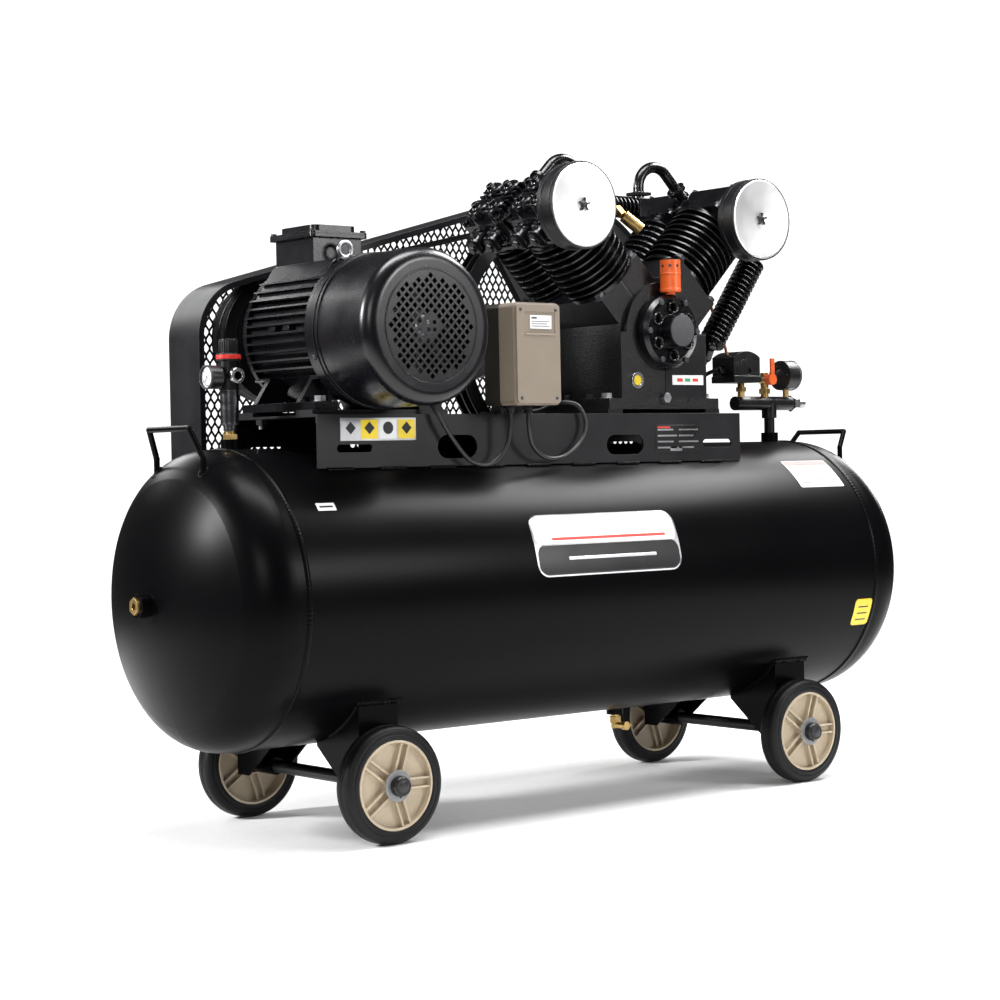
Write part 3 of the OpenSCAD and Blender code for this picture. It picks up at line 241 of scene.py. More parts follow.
manifold_finish = two_tone(surface("manifold_paint", (0.005, 0.005, 0.006), 0.32, grain=400, bump=0.2,
                                   patch=50, spec=0.35), 0, 0.6961, (0.6, 0.6, 0.62), 0.3, True)

FINISH = {
    tank_paint: "tank_shell tank_heads tank_handles leg_brackets",
    rim_paint: "rim_front_left rim_rear_left rim_front_right rim_rear_right",
    sheet_paint: "platform",
    steel: "fasteners bearings rotor_shaft",
    motor_paint: "motor_housing motor_end_shields fan_cowl terminal_box terminal_lid",
    winding: "stator_core",
    plastic: "motor_fan cable_glands pressure_switch regulator_knob",
    machined: "motor_pulley flywheel axles",
    belt: "v_belts",
    guard_paint: "guard_band",
    bright: "crankshaft connecting_rods pistons sight_glass needle_tank needle_outlet",
    cast_rough: "crankcase",
    cast_smooth: "bearing_cover cylinders cylinder_heads intercooler aftercooler",
    orange: "breather valve_lever",
    drum: "filter_drums gauges",
    brass: "brass_fittings drain_tap",
    taupe_painted_shade: "starter_box",
    taupe_light: "starter_cover",
    manifold_finish: "manifold regulator_body",
    red: "switch_lever",
    alloy: "regulator_bowl",
}
for material, names in FINISH.items():
    for name in names.split():
        mesh = nodes[name].data
        mesh.materials.clear()
        mesh.materials.append(material)
        mesh.polygons.foreach_set("material_index", [0] * len(mesh.polygons))


# ---------------------------------------------------------------- mesh helpers, in millimetres
def finish(name, bm, material, body=ROOT, bevel=0.0, angle=35, thick=0.0):
    """Turns a bmesh in millimetres into a piece that rides on a body."""
    bmesh.ops.scale(bm, vec=(MM, MM, MM), verts=bm.verts)
    bmesh.ops.recalc_face_normals(bm, faces=bm.faces)
    mesh = bpy.data.meshes.new(name)
    bm.to_mesh(mesh)
    bm.free()
    mesh.materials.append(material)
    mesh.polygons.foreach_set("use_smooth", [True] * len(mesh.polygons))
    mesh.set_sharp_from_angle(angle=math.radians(angle))
    o = bpy.data.objects.new(name, mesh)
    scene.collection.objects.link(o)
    if thick:
        s = o.modifiers.new("thickness", "SOLIDIFY")
        s.thickness = thick * MM
        s.offset = 0
    if bevel:
        b = o.modifiers.new("soft_edges", "BEVEL")
        b.width = bevel * MM
        b.segments = 2
        b.limit_method = "ANGLE"
        b.angle_limit = math.radians(40)
        b.harden_normals = False
    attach(o, body)
    return o


def box(bm, lo, hi, at=Matrix.Identity(4)):
    mid = [(a + b) / 2 for a, b in zip(lo, hi)]
    size = [b - a for a, b in zip(lo, hi)]
    bmesh.ops.create_cube(bm, size=1, matrix=at @ Matrix.Translation(mid) @ Matrix.Diagonal((*size, 1)))


def lathe(bm, profile, at=Matrix.Identity(4), n=48, closed=False):
    """A profile of (radius, height) turned about local Z."""
    rings = []
    for r, h in profile:
        if r < 1e-6:
            rings.append([bm.verts.new(at @ Vector((0, 0, h)))])
        else:
            rings.append([bm.verts.new(at @ Vector((r * math.cos(2 * math.pi * k / n),
                                                    r * math.sin(2 * math.pi * k / n), h)))
                          for k in range(n)])
    for a, b in zip(rings, rings[1:] + (rings[:1] if closed else [])):
        for k in range(n):
            corners = [a[k % len(a)], a[(k + 1) % n % len(a)], b[(k + 1) % n % len(b)], b[k % len(b)]]
            unique = list(dict.fromkeys(corners))
            if len(unique) > 2:
                bm.faces.new(unique)


def hex_bolt(bm, at, across=13, height=8, washer=0.0):
    """A chamfered hexagon head standing on its local Z plane, over a washer."""
    r = across / math.sqrt(3)
    if washer:
        lathe(bm, [(0, 0), (r * 1.25, 0), (r * 1.25, washer), (0, washer)], at, 24)
    lathe(bm, [(0, washer), (r, washer), (r, washer + height * 0.82), (r * 0.86, washer + height),
               (0, washer + height)], at, 6)


def tube(bm, points, radius, n=16):
    """A round tube along points, closed at both ends."""
    pts = [Vector(p) for p in points]
    side = None
    rings = []
    for i, p in enumerate(pts):
        t = (pts[min(i + 1, len(pts) - 1)] - pts[max(i - 1, 0)]).normalized()
        if side is None:
            side = t.orthogonal().normalized()
        side = (side - t * side.dot(t)).normalized()
        other = t.cross(side)
        rings.append([bm.verts.new(p + radius * (math.cos(2 * math.pi * k / n) * side
                                                + math.sin(2 * math.pi * k / n) * other))
                      for k in range(n)])
    for a, b in zip(rings, rings[1:]):
        for k in range(n):
            bm.faces.new((a[k], a[(k + 1) % n], b[(k + 1) % n], b[k]))
    bm.faces.new(rings[0][::-1])
    bm.faces.new(rings[-1])


def smooth_route(points, steps):
    """The same smooth curve through its points as the solid lead follows."""
    p = [Vector(q) for q in points]
    out = []
    for i in range(len(p) - 1):
        a, b, c, d = p[max(i - 1, 0)], p[i], p[i + 1], p[min(i + 2, len(p) - 1)]
        for j in range(steps):
            t = j / steps
            out.append(0.5 * (2 * b + (c - a) * t + (2 * a - 5 * b + 4 * c - d) * t * t
                              + (3 * b - a - 3 * c + d) * t ** 3))
    return out + [p[-1]]


def to_y(x, y, z, towards=1):
    """Local Z along +Y or -Y from a point."""
    return Matrix.Translation((x, y, z)) @ Matrix.Rotation(math.radians(-90 * towards), 4, "X")


def to_x(x, y, z, towards=1):
    return Matrix.Translation((x, y, z)) @ Matrix.Rotation(math.radians(90 * towards), 4, "Y")


def bead(bm, points, outward, width, height, pitch=7.0):
    """A rippled weld bead along points; outward gives the surface direction at each."""
    pts = [Vector(p) for p in points]
    rows = []
    run = 0.0
    for i, p in enumerate(pts):
        if i:
            run += (p - pts[i - 1]).length
        t = (pts[min(i + 1, len(pts) - 1)] - pts[max(i - 1, 0)]).normalized()
        n = Vector(outward[i]).normalized()
        side = t.cross(n).normalized()
        swell = 0.82 + 0.18 * abs(math.sin(math.pi * run / pitch)) + 0.08 * math.sin(run * 1.7)
        rows.append([bm.verts.new(p + side * (width / 2 * swell * math.cos(a))
                                  + n * (height * swell * math.sin(a) - 0.3))
                     for a in [math.radians(v) for v in (0, 36, 72, 108, 144, 180)]])
    for a, b in zip(rows, rows[1:]):
        for k in range(5):
            bm.faces.new((a[k], a[k + 1], b[k + 1], b[k]))


# ---------------------------------------------------------------- receiver
TANK_R = 250.0
TANK_Z = 400.0
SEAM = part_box("tank_shell")[1].x / MM
WHEEL_X = pivot("wheel_front_right_spin")[0]
# Half the width of a leg bracket where it meets the shell
BRACKET_Y = 183
# Centre and radius of a dished head's knuckle, and the centre's distance from the tank's axis
KNUCKLE_X, KNUCKLE_R, KNUCKLE_OFF_AXIS = 684.0, 85.0, 165.0
# Where the handles' feet stand, and half the distance between a handle's two feet
HANDLE_X, HANDLE_Y = (-743, 762), 72


def on_tank(x, angle, lift=0.0):
    """A point on the shell: angle is measured up from the front, in radians."""
    r = TANK_R + lift
    return Vector((x, -r * math.cos(angle), TANK_Z + r * math.sin(angle)))


def tank_label(name, x0, x1, a0, a1, corner, material, lift=0.35):
    """A thin label bent round the shell, with round corners. Angles are in degrees above the front."""
    bm = bmesh.new()
    arc0, arc1 = math.radians(a0) * TANK_R, math.radians(a1) * TANK_R
    columns = []
    for i in range(49):
        s = 0.5 - 0.5 * math.cos(math.pi * i / 48)
        x = x0 + (x1 - x0) * s
        edge = min(x - x0, x1 - x)
        cut = corner - math.sqrt(max(0.0, corner ** 2 - max(0.0, corner - edge) ** 2)) if edge < corner else 0
        lo, hi = arc0 + cut, arc1 - cut
        columns.append([bm.verts.new(on_tank(x, (lo + (hi - lo) * j / 16) / TANK_R, lift))
                        for j in range(17)])
    for a, b in zip(columns, columns[1:]):
        for j in range(16):
            bm.faces.new((a[j], a[j + 1], b[j + 1], b[j]))
    bmesh.ops.remove_doubles(bm, verts=bm.verts, dist=0.01)
    return finish(name, bm, material, thick=0.25)


def head_height(x, y):
    """The height of a dished head over a point of its knuckle."""
    radius = KNUCKLE_OFF_AXIS + math.sqrt(max(0, KNUCKLE_R ** 2 - (abs(x) - KNUCKLE_X) ** 2))
    return TANK_Z + math.sqrt(max(0, radius * radius - y * y))


bm = bmesh.new()
turns = [2 * math.pi * k / 640 for k in range(641)]
for s in (-1, 1):
    ring = [(s * SEAM, TANK_R * math.cos(a), TANK_Z + TANK_R * math.sin(a)) for a in turns]
    bead(bm, ring, [(0, math.cos(a), math.sin(a)) for a in turns], 11, 2.8)
finish("seam_welds", bm, tank_paint)

bm = bmesh.new()
for sx in (-1, 1):
    for sy in (-1, 1):
        top = TANK_Z - math.sqrt(TANK_R ** 2 - BRACKET_Y ** 2)
        xs = [sx * WHEEL_X + v for v in range(-46, 47, 2)]
        pts = [(x, sy * (BRACKET_Y + 1), top + 1.5 + 1.2 * math.sin(x * 0.9)) for x in xs]
        bead(bm, pts, [(0, sy, -0.4)] * len(pts), 11, 4.5, 9)
        for end in (-41, 41):
            ys = [BRACKET_Y - 3 * k for k in range(28)]
            pts = [(sx * WHEEL_X + end, sy * y, TANK_Z - math.sqrt(TANK_R ** 2 - y * y)) for y in ys]
            bead(bm, pts, [(math.copysign(1, end), 0, -0.7)] * len(pts), 8, 3.5, 8)
for sy in (-1, 1):
    for k in range(9):
        x0 = -545 + k * 107
        xs = [x0 + 2 * j for j in range(28)]
        pts = [(x, sy * 133, 613.5) for x in xs]
        bead(bm, pts, [(0, sy, 0.9)] * len(pts), 7, 3.2, 8)
turns = [2 * math.pi * k / 40 for k in range(41)]
for foot in HANDLE_X:
    for sy in (-1, 1):
        ring = [(foot + 7 * math.cos(a), sy * HANDLE_Y + 7 * math.sin(a)) for a in turns]
        pts = [(x, y, head_height(x, y)) for x, y in ring]
        bead(bm, pts, [(math.cos(a), math.sin(a), 1.2) for a in turns], 6, 2.6, 6)
finish("bracket_welds", bm, tank_paint)

tank_label("main_label_edge", -192, 146, 5.0, 30.6, 24, silver, 0.30)
tank_label("main_label_top", -188, 142, 16.5, 30.0, 20, pale, 0.60)
tank_label("main_label_low", -188, 142, 5.6, 18.0, 20, ink, 0.65)
tank_label("main_label_band", -150, 116, 19.5, 20.6, 1, label_red, 0.85)
tank_label("main_label_rule", -120, 86, 11.4, 12.6, 1, silver, 0.85)
tank_label("rating_label", 520, 640, 39.5, 57.0, 3, pale, 0.35)
tank_label("rating_header", 522, 638, 53.5, 56.6, 1, label_red, 0.60)
for k in range(5):
    tank_label(f"rating_rule_{k}", 529, 624 - 14 * (k % 2), 50.4 - 2.1 * k, 50.9 - 2.1 * k, 0.3, ink, 0.60)
tank_label("tag_label", 612, 660, -26.0, -13.5, 8, label_yellow, 0.35)
for k in range(3):
    tank_label(f"tag_rule_{k}", 622, 650, -23.5 + 3 * k, -22.9 + 3 * k, 0.3, ink, 0.60)
tank_label("serial_label", -611, -575, 36.2, 39.7, 1, pale, 0.35)
tank_label("serial_rule", -606, -580, 37.6, 38.4, 0.3, ink, 0.60)

# ---------------------------------------------------------------- wheels
for i, wheel in enumerate(("front_left", "rear_left", "front_right", "rear_right")):
    lo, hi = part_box("tyre_" + wheel)
    cx, cz = (lo.x + hi.x) / 2 / MM, (lo.z + hi.z) / 2 / MM
    mid = (lo.y + hi.y) / 2 / MM
    w, r, rim = (hi.y - lo.y) / 2 / MM, (hi.z - lo.z) / 2 / MM, 74.0
    bm = bmesh.new()
    side = [(rim, w - 1.2), (rim + 1.5, w - 0.2), (rim + 5, w), (rim + 9, w - 0.6), (rim + 10, w - 1.4),
            (rim + 11, w - 0.6), (r - 10, w - 0.6), (r - 6, w - 1.8), (r - 3, w - 4.2), (r - 1.2, w - 7.5),
            (r - 0.3, w - 11), (r, w - 14), (r, 3.2), (r - 1.0, 2.6), (r - 1.0, 1.6), (r, 1.0)]
    profile = side + [(a, -b) for a, b in reversed(side)]
    lathe(bm, profile, to_y(cx, mid, cz), 128, closed=True)
    o = finish("tyre_" + wheel + "_moulded", bm, rubber, "wheel_" + wheel)
    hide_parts("tyre_" + wheel)
    bm = bmesh.new()
    for s in (-1, 1):
        lathe(bm, [(rim - 4.5, 0), (rim - 4, 1.0), (rim - 1.2, 1.4), (rim - 0.2, 0.6), (rim - 0.2, -1.5),
                   (rim - 4.5, -1.5)], to_y(cx, mid + s * (w - 1.4), cz, s), 96, closed=True)
    finish("rim_lip_" + wheel, bm, rim_paint, "wheel_" + wheel)

washers, caps = bmesh.new(), bmesh.new()
for wheel in ("front_left", "rear_left", "front_right", "rear_right"):
    lo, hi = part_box("tyre_" + wheel)
    s = -1 if wheel.startswith("front") else 1
    at = to_y((lo.x + hi.x) / 2 / MM, (lo.y if s < 0 else hi.y) / MM, (lo.z + hi.z) / 2 / MM, s)
    lathe(washers, [(14.2, 3.2), (25.5, 3.2), (26.2, 3.8), (25.6, 4.6), (17, 5.2), (14.2, 5.2)],
          at, 64, closed=True)
    lathe(caps, [(14.2, 5.2), (16.8, 5.2), (17, 6), (17, 12), (15.8, 16.5), (11.5, 19.6), (6, 20.8),
                 (0, 21.1)], at, 48)
finish("hub_washers", washers, hub_grey, bevel=0.3)
finish("hub_caps", caps, drum, angle=60)

# ---------------------------------------------------------------- guard
band_lo, band_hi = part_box("guard_band")
mesh_lo, mesh_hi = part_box("guard_mesh")
CRANK = (pivot("crank_spin")[0], pivot("crank_spin")[2])
FOOT = 600.0
GUARD_FRONT, GUARD_BACK = 160.0, band_hi.y / MM
BIG, SMALL, SLOPE = 285.0, 105.0, math.radians(15.3)
small_x = band_lo.x / MM + SMALL
small_z = CRANK[1] + ((BIG - SMALL) - (CRANK[0] - small_x) * math.sin(SLOPE)) / math.cos(SLOPE)


def guard_path(inset):
    """The guard's outline: foot, round corner, sloping top, round over the flywheel, foot."""
    def arc(cx, cz, r, a0, a1, n):
        return [(cx + r * math.cos(a0 + (a1 - a0) * k / n), cz + r * math.sin(a0 + (a1 - a0) * k / n))
                for k in range(n + 1)]
    quarter = math.pi / 2
    return ([(band_lo.x / MM + inset, FOOT + inset)]
            + arc(small_x, small_z, SMALL - inset, 2 * quarter, quarter + SLOPE, 32)
            + arc(*CRANK, BIG - inset, quarter + SLOPE, 0, 64)
            + [(CRANK[0] + BIG - inset, FOOT + inset)])


def into_guard(x, z, inset):
    """Brings a point inside the outline."""
    x = min(max(x, band_lo.x / MM + inset), CRANK[0] + BIG - inset)
    z = max(z, FOOT + inset)
    over = (CRANK[0] - x) * math.sin(SLOPE) + (z - CRANK[1]) * math.cos(SLOPE) - (BIG - inset)
    if over > 0:
        x, z = x + over * math.sin(SLOPE), z - over * math.cos(SLOPE)
    for cx, cz, r, a0, a1 in ((*CRANK, BIG, 0, math.pi / 2 + SLOPE),
                              (small_x, small_z, SMALL, math.pi / 2 + SLOPE, math.pi)):
        d = math.hypot(x - cx, z - cz)
        if d > r - inset and a0 <= math.atan2(z - cz, x - cx) <= a1:
            x, z = cx + (x - cx) * (r - inset) / d, cz + (z - cz) * (r - inset) / d
    return x, z


# The rolled section as (inset, y): the web outside, and a short flange along each edge
WEB, FLANGE = 1.5, 11
section = [(0, GUARD_FRONT), (0, GUARD_BACK), (FLANGE, GUARD_BACK), (FLANGE, GUARD_BACK - WEB),
           (WEB, GUARD_BACK - WEB), (WEB, GUARD_FRONT + WEB), (FLANGE, GUARD_FRONT + WEB),
           (FLANGE, GUARD_FRONT)]
bm = bmesh.new()
rows = [[bm.verts.new((x, y, z)) for x, z in guard_path(inset)] for inset, y in section]
for a, b in zip(rows, rows[1:] + rows[:1]):
    for k in range(len(a) - 1):
        bm.faces.new((a[k], a[k + 1], b[k + 1], b[k]))
    bm.faces.new((a[-1], a[0], b[0], b[-1]))
for x in (-250, 20):
    box(bm, (x - 20, 132, 655), (x + 20, GUARD_FRONT, 658))
    box(bm, (x - 20, GUARD_FRONT - 3, FOOT), (x + 20, GUARD_FRONT, 658))
o = finish("guard_sheet", bm, guard_paint, bevel=0.6, angle=40)
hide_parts("guard_band")

bm = bmesh.new()
PX, PZ, STRAND = 15.0, 14.5, 3.8
made = {}


def mesh_vert(x, z):
    key = (round(x, 2), round(z, 2))
    if key not in made:
        px, pz = into_guard(x, z, 2.5)
        made[key] = bm.verts.new((px, (mesh_lo.y + mesh_hi.y) / 2 / MM, pz))
    return made[key]


for j in range(int((band_hi.z - band_lo.z) / MM / PZ) + 1):
    for i in range(int((band_hi.x - band_lo.x) / MM / PX) + 1):
        x = band_lo.x / MM + (i + 0.5 * (j % 2)) * PX
        z = FOOT + j * PZ
        if math.dist((x, z), into_guard(x, z, 4.0)) > 0.01:
            continue
        long, short = PZ * 0.84, PZ * 0.16
        ring = [(x, z + long), (x + PX / 2, z + short), (x + PX / 2, z - short), (x, z - long),
                (x - PX / 2, z - short), (x - PX / 2, z + short)]
        bm.faces.new([mesh_vert(*p) for p in ring])
bmesh.ops.recalc_face_normals(bm, faces=bm.faces)
cells = list(bm.faces)
bmesh.ops.inset_individual(bm, faces=cells, thickness=STRAND / 2, use_even_offset=True)
bmesh.ops.delete(bm, geom=[f for f in cells if f.is_valid], context="FACES_ONLY")
o = finish("guard_expanded_mesh", bm, guard_paint, thick=1.4)
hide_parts("guard_mesh")

# ---------------------------------------------------------------- leads and tube
ROUTES = {
    "motor_lead": ([
        (-180, -167, 704), (-180, -166, 680), (-186, -160, 645), (-215, -154, 618), (-255, -151, 622),
        (-290, -150, 655), (-322, -148, 700), (-330, -132, 728), (-310, -95, 748), (-276, -60, 780),
        (-268, -30, 840), (-270, 0, 910), (-282, 30, 962), (-310, 40, 984), (-340, 40, 986)], 4.0, lead,
        "lead_rubber"),
    "switch_lead": ([
        (-140, -167, 704), (-138, -166, 680), (-125, -160, 648), (-90, -154, 626), (-45, -150, 628),
        (-5, -148, 652), (12, -146, 685), (0, -138, 718), (-20, -110, 724), (-15, -50, 712),
        (20, 60, 712), (55, 112, 711), (88, 135, 709.5), (118, 144.5, 699), (150, 147, 690),
        (260, 147, 684), (365, 147, 686), (418, 143, 694), (446, 116, 720), (474, 58, 766),
        (484, 15, 788), (492, 0, 790)], 4.0, lead, "lead_rubber"),
    "unloader_tube": ([
        (517, 0, 819), (516, 2, 834), (510, 8, 862), (501, 16, 896), (495, 26, 936), (490, 34, 976),
        (486, 40, 1008), (481, 44, 1029)], 3.0, nylon, "tube_nylon"),
}
for name, (points, radius, material, slot_name) in ROUTES.items():
    bm = bmesh.new()
    tube(bm, smooth_route(points, 10), radius, 18)
    o = finish(name + "_round", bm, material, angle=60)
    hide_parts(name)

# ---------------------------------------------------------------- pump
CX, CZ = CRANK


def bank(side, y):
    """Places a pump bank: local Z along it, local X away from the other bank."""
    return (Matrix.Translation((CX, y + side * 9, CZ)) @ Matrix.Diagonal((-1 if side < 0 else 1, 1, 1, 1))
            @ Matrix.Rotation(math.radians(45), 4, "Y"))


HEAD_TOP = 344.0
covers = bmesh.new()
bolts = bmesh.new()
for side in (-1, 1):
    for y, half in ((-52, 64), (68, 58)):
        m = bank(side, y)
        mid = -7 if y < 0 else -1
        for sx in (-1, 1):
            for sy in (-1, 1):
                at = m @ Matrix.Translation((sx * 54, mid + sy * (half - 12), 289))
                hex_bolt(bolts, at, 13, 9, 1.5)
        if side > 0:
            for k in range(9):
                box(covers, (-52 + 12.5 * k, mid - half + 7, HEAD_TOP - 3),
                    (-48 + 12.5 * k, mid + half - 7, HEAD_TOP + 9), m)
        else:
            for sx in (-26, 26):
                for sy in (-24, 24):
                    at = m @ Matrix.Translation((sx, mid + sy, HEAD_TOP - 2))
                    lathe(covers, [(0, 0), (20, 0), (20, 15), (17.5, 18), (9, 18.5), (8, 20), (0, 20)],
                          at, 32)
                    hex_bolt(covers, at @ Matrix.Translation((0, 0, 20)), 14, 8)
            for sy in (-26, 24):
                at = m @ Matrix.Translation((57, mid + sy, 312)) @ Matrix.Rotation(math.radians(90), 4, "Y")
                lathe(covers, [(0, 0), (22, 0), (22, 5), (15, 8), (14, 20), (19, 21), (19, 27), (15, 30),
                               (0, 31)], at, 32)
                hex_bolt(covers, at @ Matrix.Translation((0, 0, 30)), 15, 8)
                for a in (45, 135, 225, 315):
                    c, s = math.cos(math.radians(a)), math.sin(math.radians(a))
                    hex_bolt(bolts, at @ Matrix.Translation((18 * c, 18 * s, 4)), 8, 5)
finish("head_covers", covers, cast_smooth, bevel=0.5)
for side in (-1, 1):
    for sx in (-1, 1):
        for y in (-104, 108):
            hex_bolt(bolts, bank(side, 0) @ Matrix.Translation((sx * 54, y - side * 9, 140)), 16, 9, 1.5)
for k in range(6):
    a = math.radians(60 * k)
    hex_bolt(bolts, to_y(CX + 60 * math.cos(a), -150, CZ + 60 * math.sin(a), -1), 10, 5)
for x in (-129, 129):
    for y in (-60, 0, 60):
        hex_bolt(bolts, Matrix.Translation((CX + x, y, 732)), 13, 8, 1.5)
finish("pump_bolts", bolts, dark_steel, bevel=0.3)

bm = bmesh.new()
box(bm, (CX + 1.5, -126.2, 734), (CX + 106, -124.8, 851))
finish("crankcase_plate", bm, machined, bevel=0.4)
bm = bmesh.new()
box(bm, (CX + 18, -126.9, 757), (CX + 98, -126.0, 775))
finish("crankcase_label", bm, pale, bevel=0.3)
for k, m in enumerate((label_red, label_green, label_red)):
    bm = bmesh.new()
    box(bm, (CX + 30 + 20 * k, -127.2, 763), (CX + 44 + 20 * k, -126.8, 769))
    finish(f"crankcase_label_bar_{k}", bm, m)
bm = bmesh.new()
lathe(bm, [(0, 0), (29, 0), (29, 0.6), (28, 1.0), (0, 1.0)], to_y(CX, -174.8, CZ, -1), 64)
finish("cover_cap", bm, cap_texture)
bm = bmesh.new()
for k in range(6):
    a = math.radians(60 * k + 30)
    lathe(bm, [(8.2, 0), (9.5, 1.6), (11, 1.9), (12.2, 0)],
          to_y(CX + 44 * math.cos(a), -152.2, CZ + 44 * math.sin(a), -1), 28)
finish("cover_pockets", bm, cast_smooth)
bm = bmesh.new()
lathe(bm, [(0, 0), (9.2, 0), (9.2, 0.6), (5, 1.2), (0, 1.4)], to_y(CX - 71, -127.2, 765, -1), 40)
finish("sight_window", bm, yellow_glass)
bm = bmesh.new()
for k in range(8):
    a = 2 * math.pi * k / 8
    at = (Matrix.Translation((CX, -145, CZ + 120)) @ Matrix.Rotation(a, 4, "Z")
          @ Matrix.Translation((18.6, 0, 0)) @ Matrix.Rotation(math.radians(90), 4, "Y"))
    lathe(bm, [(0, 0.75), (2.7, 0.7), (2.9, 0.0)], at, 20)
finish("breather_vents", bm, ink)
bm = bmesh.new()
lathe(bm, [(19.0, 0), (19.7, 0.5), (19.7, 5), (19.0, 5.6)], Matrix.Translation((CX, -145, CZ + 73)), 48)
lathe(bm, [(19.0, 0), (19.6, 0.4), (19.6, 3), (19.0, 3.4)], Matrix.Translation((CX, -145, CZ + 104)), 48)
finish("breather_bands", bm, orange)


# ---------------------------------------------------------------- filters
def turned_metal(name, x, z):
    """Spun metal: fine rings about one centre."""
    m, t, p = graph(name)
    place = coords(t, (1, 0.02, 1), (x * MM, 0, z * MM))
    rings = t.nodes.new("ShaderNodeTexWave")
    rings.wave_type = "RINGS"
    rings.rings_direction = "SPHERICAL"
    rings.inputs["Scale"].default_value = 210
    rings.inputs["Distortion"].default_value = 1.5
    rings.inputs["Detail"].default_value = 3
    clouds = node(t, "ShaderNodeTexNoise", Scale=14.0, Detail=4.0)
    for n in (rings, clouds):
        t.links.new(place, n.inputs["Vector"])
    relief = node(t, "ShaderNodeBump", Strength=0.12, Distance=0.0002)
    t.links.new(rings.outputs["Fac"], relief.inputs["Height"])
    t.links.new(relief.outputs["Normal"], p.inputs["Normal"])
    t.links.new(blend_colour(t, spread(t, clouds.outputs[0], 0, 1), (0.80, 0.80, 0.81), (0.93, 0.93, 0.94)),
                p.inputs["Base Color"])
    t.links.new(spread(t, clouds.outputs[0], 0.34, 0.44), p.inputs["Roughness"])
    p.inputs["Metallic"].default_value = 0.85
    return m


for side, label in ((-1, "left"), (1, "right")):
    x, z, y = CX + side * 233.5, 1073.0, -165 + side * 9
    bm = bmesh.new()
    lathe(bm, [(0, -4.4), (4, -4.3), (8, -3.4), (20, -2.6), (68, -0.6), (71.5, -0.1), (73.5, 0), (74.6, -0.6),
               (74.9, -2.5), (74.9, -4), (60, -5), (0, -6)], to_y(x, y, z, -1), 128)
    finish("filter_face_" + label, bm, turned_metal("filter_metal_" + label, x, z),
                        angle=60)
    bm = bmesh.new()
    lathe(bm, [(0, -5), (5.5, -5), (5.5, 1.5), (4.5, 3), (0, 3.2)], to_y(x, y, z, -1), 24)
    for k in range(5):
        at = to_y(x, y, z, -1) @ Matrix.Rotation(2 * math.pi * k / 5 + 0.3, 4, "Z")
        box(bm, (0, -1.6, -1.5), (12.5, 1.6, 2.2), at)
    finish("filter_star_" + label, bm, plastic, bevel=0.5)
    bm = bmesh.new()
    for d in (6, 30):
        lathe(bm, [(77.4, 0), (78.3, 0.4), (78.3, 2.2), (77.4, 2.6)], to_y(x, y + d, z), 96)
    finish("filter_bands_" + label, bm, drum)
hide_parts("filter_faces")

# ---------------------------------------------------------------- starter
sb_lo, sb_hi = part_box("starter_cover")
bx0, bx1, bf = sb_lo.x / MM, sb_hi.x / MM, sb_lo.y / MM
top = sb_hi.z / MM
bm = bmesh.new()
box(bm, (bx0 + 33, bf - 0.2, top - 45), (bx1 - 22, bf + 1.4, top - 22))
finish("starter_label", bm, pale, bevel=0.2)
bm = bmesh.new()
box(bm, (bx0 + 36, bf - 0.5, top - 28), (bx0 + 48, bf - 0.1, top - 25))
for k in range(3):
    box(bm, (bx0 + 36, bf - 0.5, top - 33 - 4 * k), (bx1 - 27 - 5 * (k % 2), bf - 0.1, top - 32 - 4 * k))
finish("starter_label_rules", bm, dark_steel)
bm = bmesh.new()
box(bm, (bx0 + 20, bf - 1.2, top - 56), (bx1 - 14, bf + 0.8, top - 53.4))
finish("starter_ledge", bm, taupe_light, bevel=0.5)
bm = bmesh.new()
for x in (bx0 + 12, bx1 - 12):
    for z in (sb_lo.z / MM + 12, top - 12):
        lathe(bm, [(0, 0.9), (2.2, 0.9), (3.1, 0.4), (3.3, 0)], to_y(x, bf, z, -1), 20)
finish("starter_screws", bm, dark_steel)

# ---------------------------------------------------------------- platform labels
bm = bmesh.new()
box(bm, (-516, -132.7, 660), (-360, -131.9, 698))
finish("strip_back", bm, silver, bevel=0.2)
for k, m in enumerate((silver, label_yellow, pale, label_yellow)):
    x0 = -513 + 38.5 * k
    bm = bmesh.new()
    box(bm, (x0, -133.1, 663), (x0 + 35, -132.5, 695))
    finish(f"strip_panel_{k}", bm, m, bevel=0.2)
    bm = bmesh.new()
    lathe(bm, [(0, 0.35), (10.5, 0.35), (10.5, 0)], to_y(x0 + 17.5, -133.1, 681, -1), 4 if k != 2 else 32)
    finish(f"strip_mark_{k}", bm, ink)
bm = bmesh.new()
box(bm, (194, -132.7, 630), (311, -131.9, 682))
finish("plate_back", bm, ink, bevel=0.3)
bm = bmesh.new()
for k in range(4):
    box(bm, (200, -133.0, 672 - 11 * k), (240 + 9 * (k % 2), -132.6, 675 - 11 * k))
    box(bm, (254, -133.0, 672 - 11 * k), (304 - 12 * (k % 2), -132.6, 675 - 11 * k))
box(bm, (232, -133.0, 634), (262, -132.6, 642))
finish("plate_rules", bm, silver)
bm = bmesh.new()
box(bm, (200, -133.05, 676.5), (232, -132.6, 679.5))
finish("plate_header", bm, label_red)

# ---------------------------------------------------------------- gauges
def dial(name, x, z, radius, towards):
    at = to_x(x, 0, z, towards)
    bm = bmesh.new()
    lathe(bm, [(0, 0.35), (radius - 0.3, 0.35), (radius - 0.3, 0)], at, 64)
    finish(name + "_dial", bm, pale)
    bm = bmesh.new()
    for k in range(41):
        a = math.radians(-135 + 270 * k / 40)
        long = 0.22 if k % 5 == 0 else 0.12
        turn = at @ Matrix.Rotation(a, 4, "Z")
        w = radius * (0.016 if k % 5 else 0.026)
        box(bm, (-radius * 0.88, -w, 0.3), (-radius * (0.88 - long), w, 0.55), turn)
    finish(name + "_ticks", bm, ink)


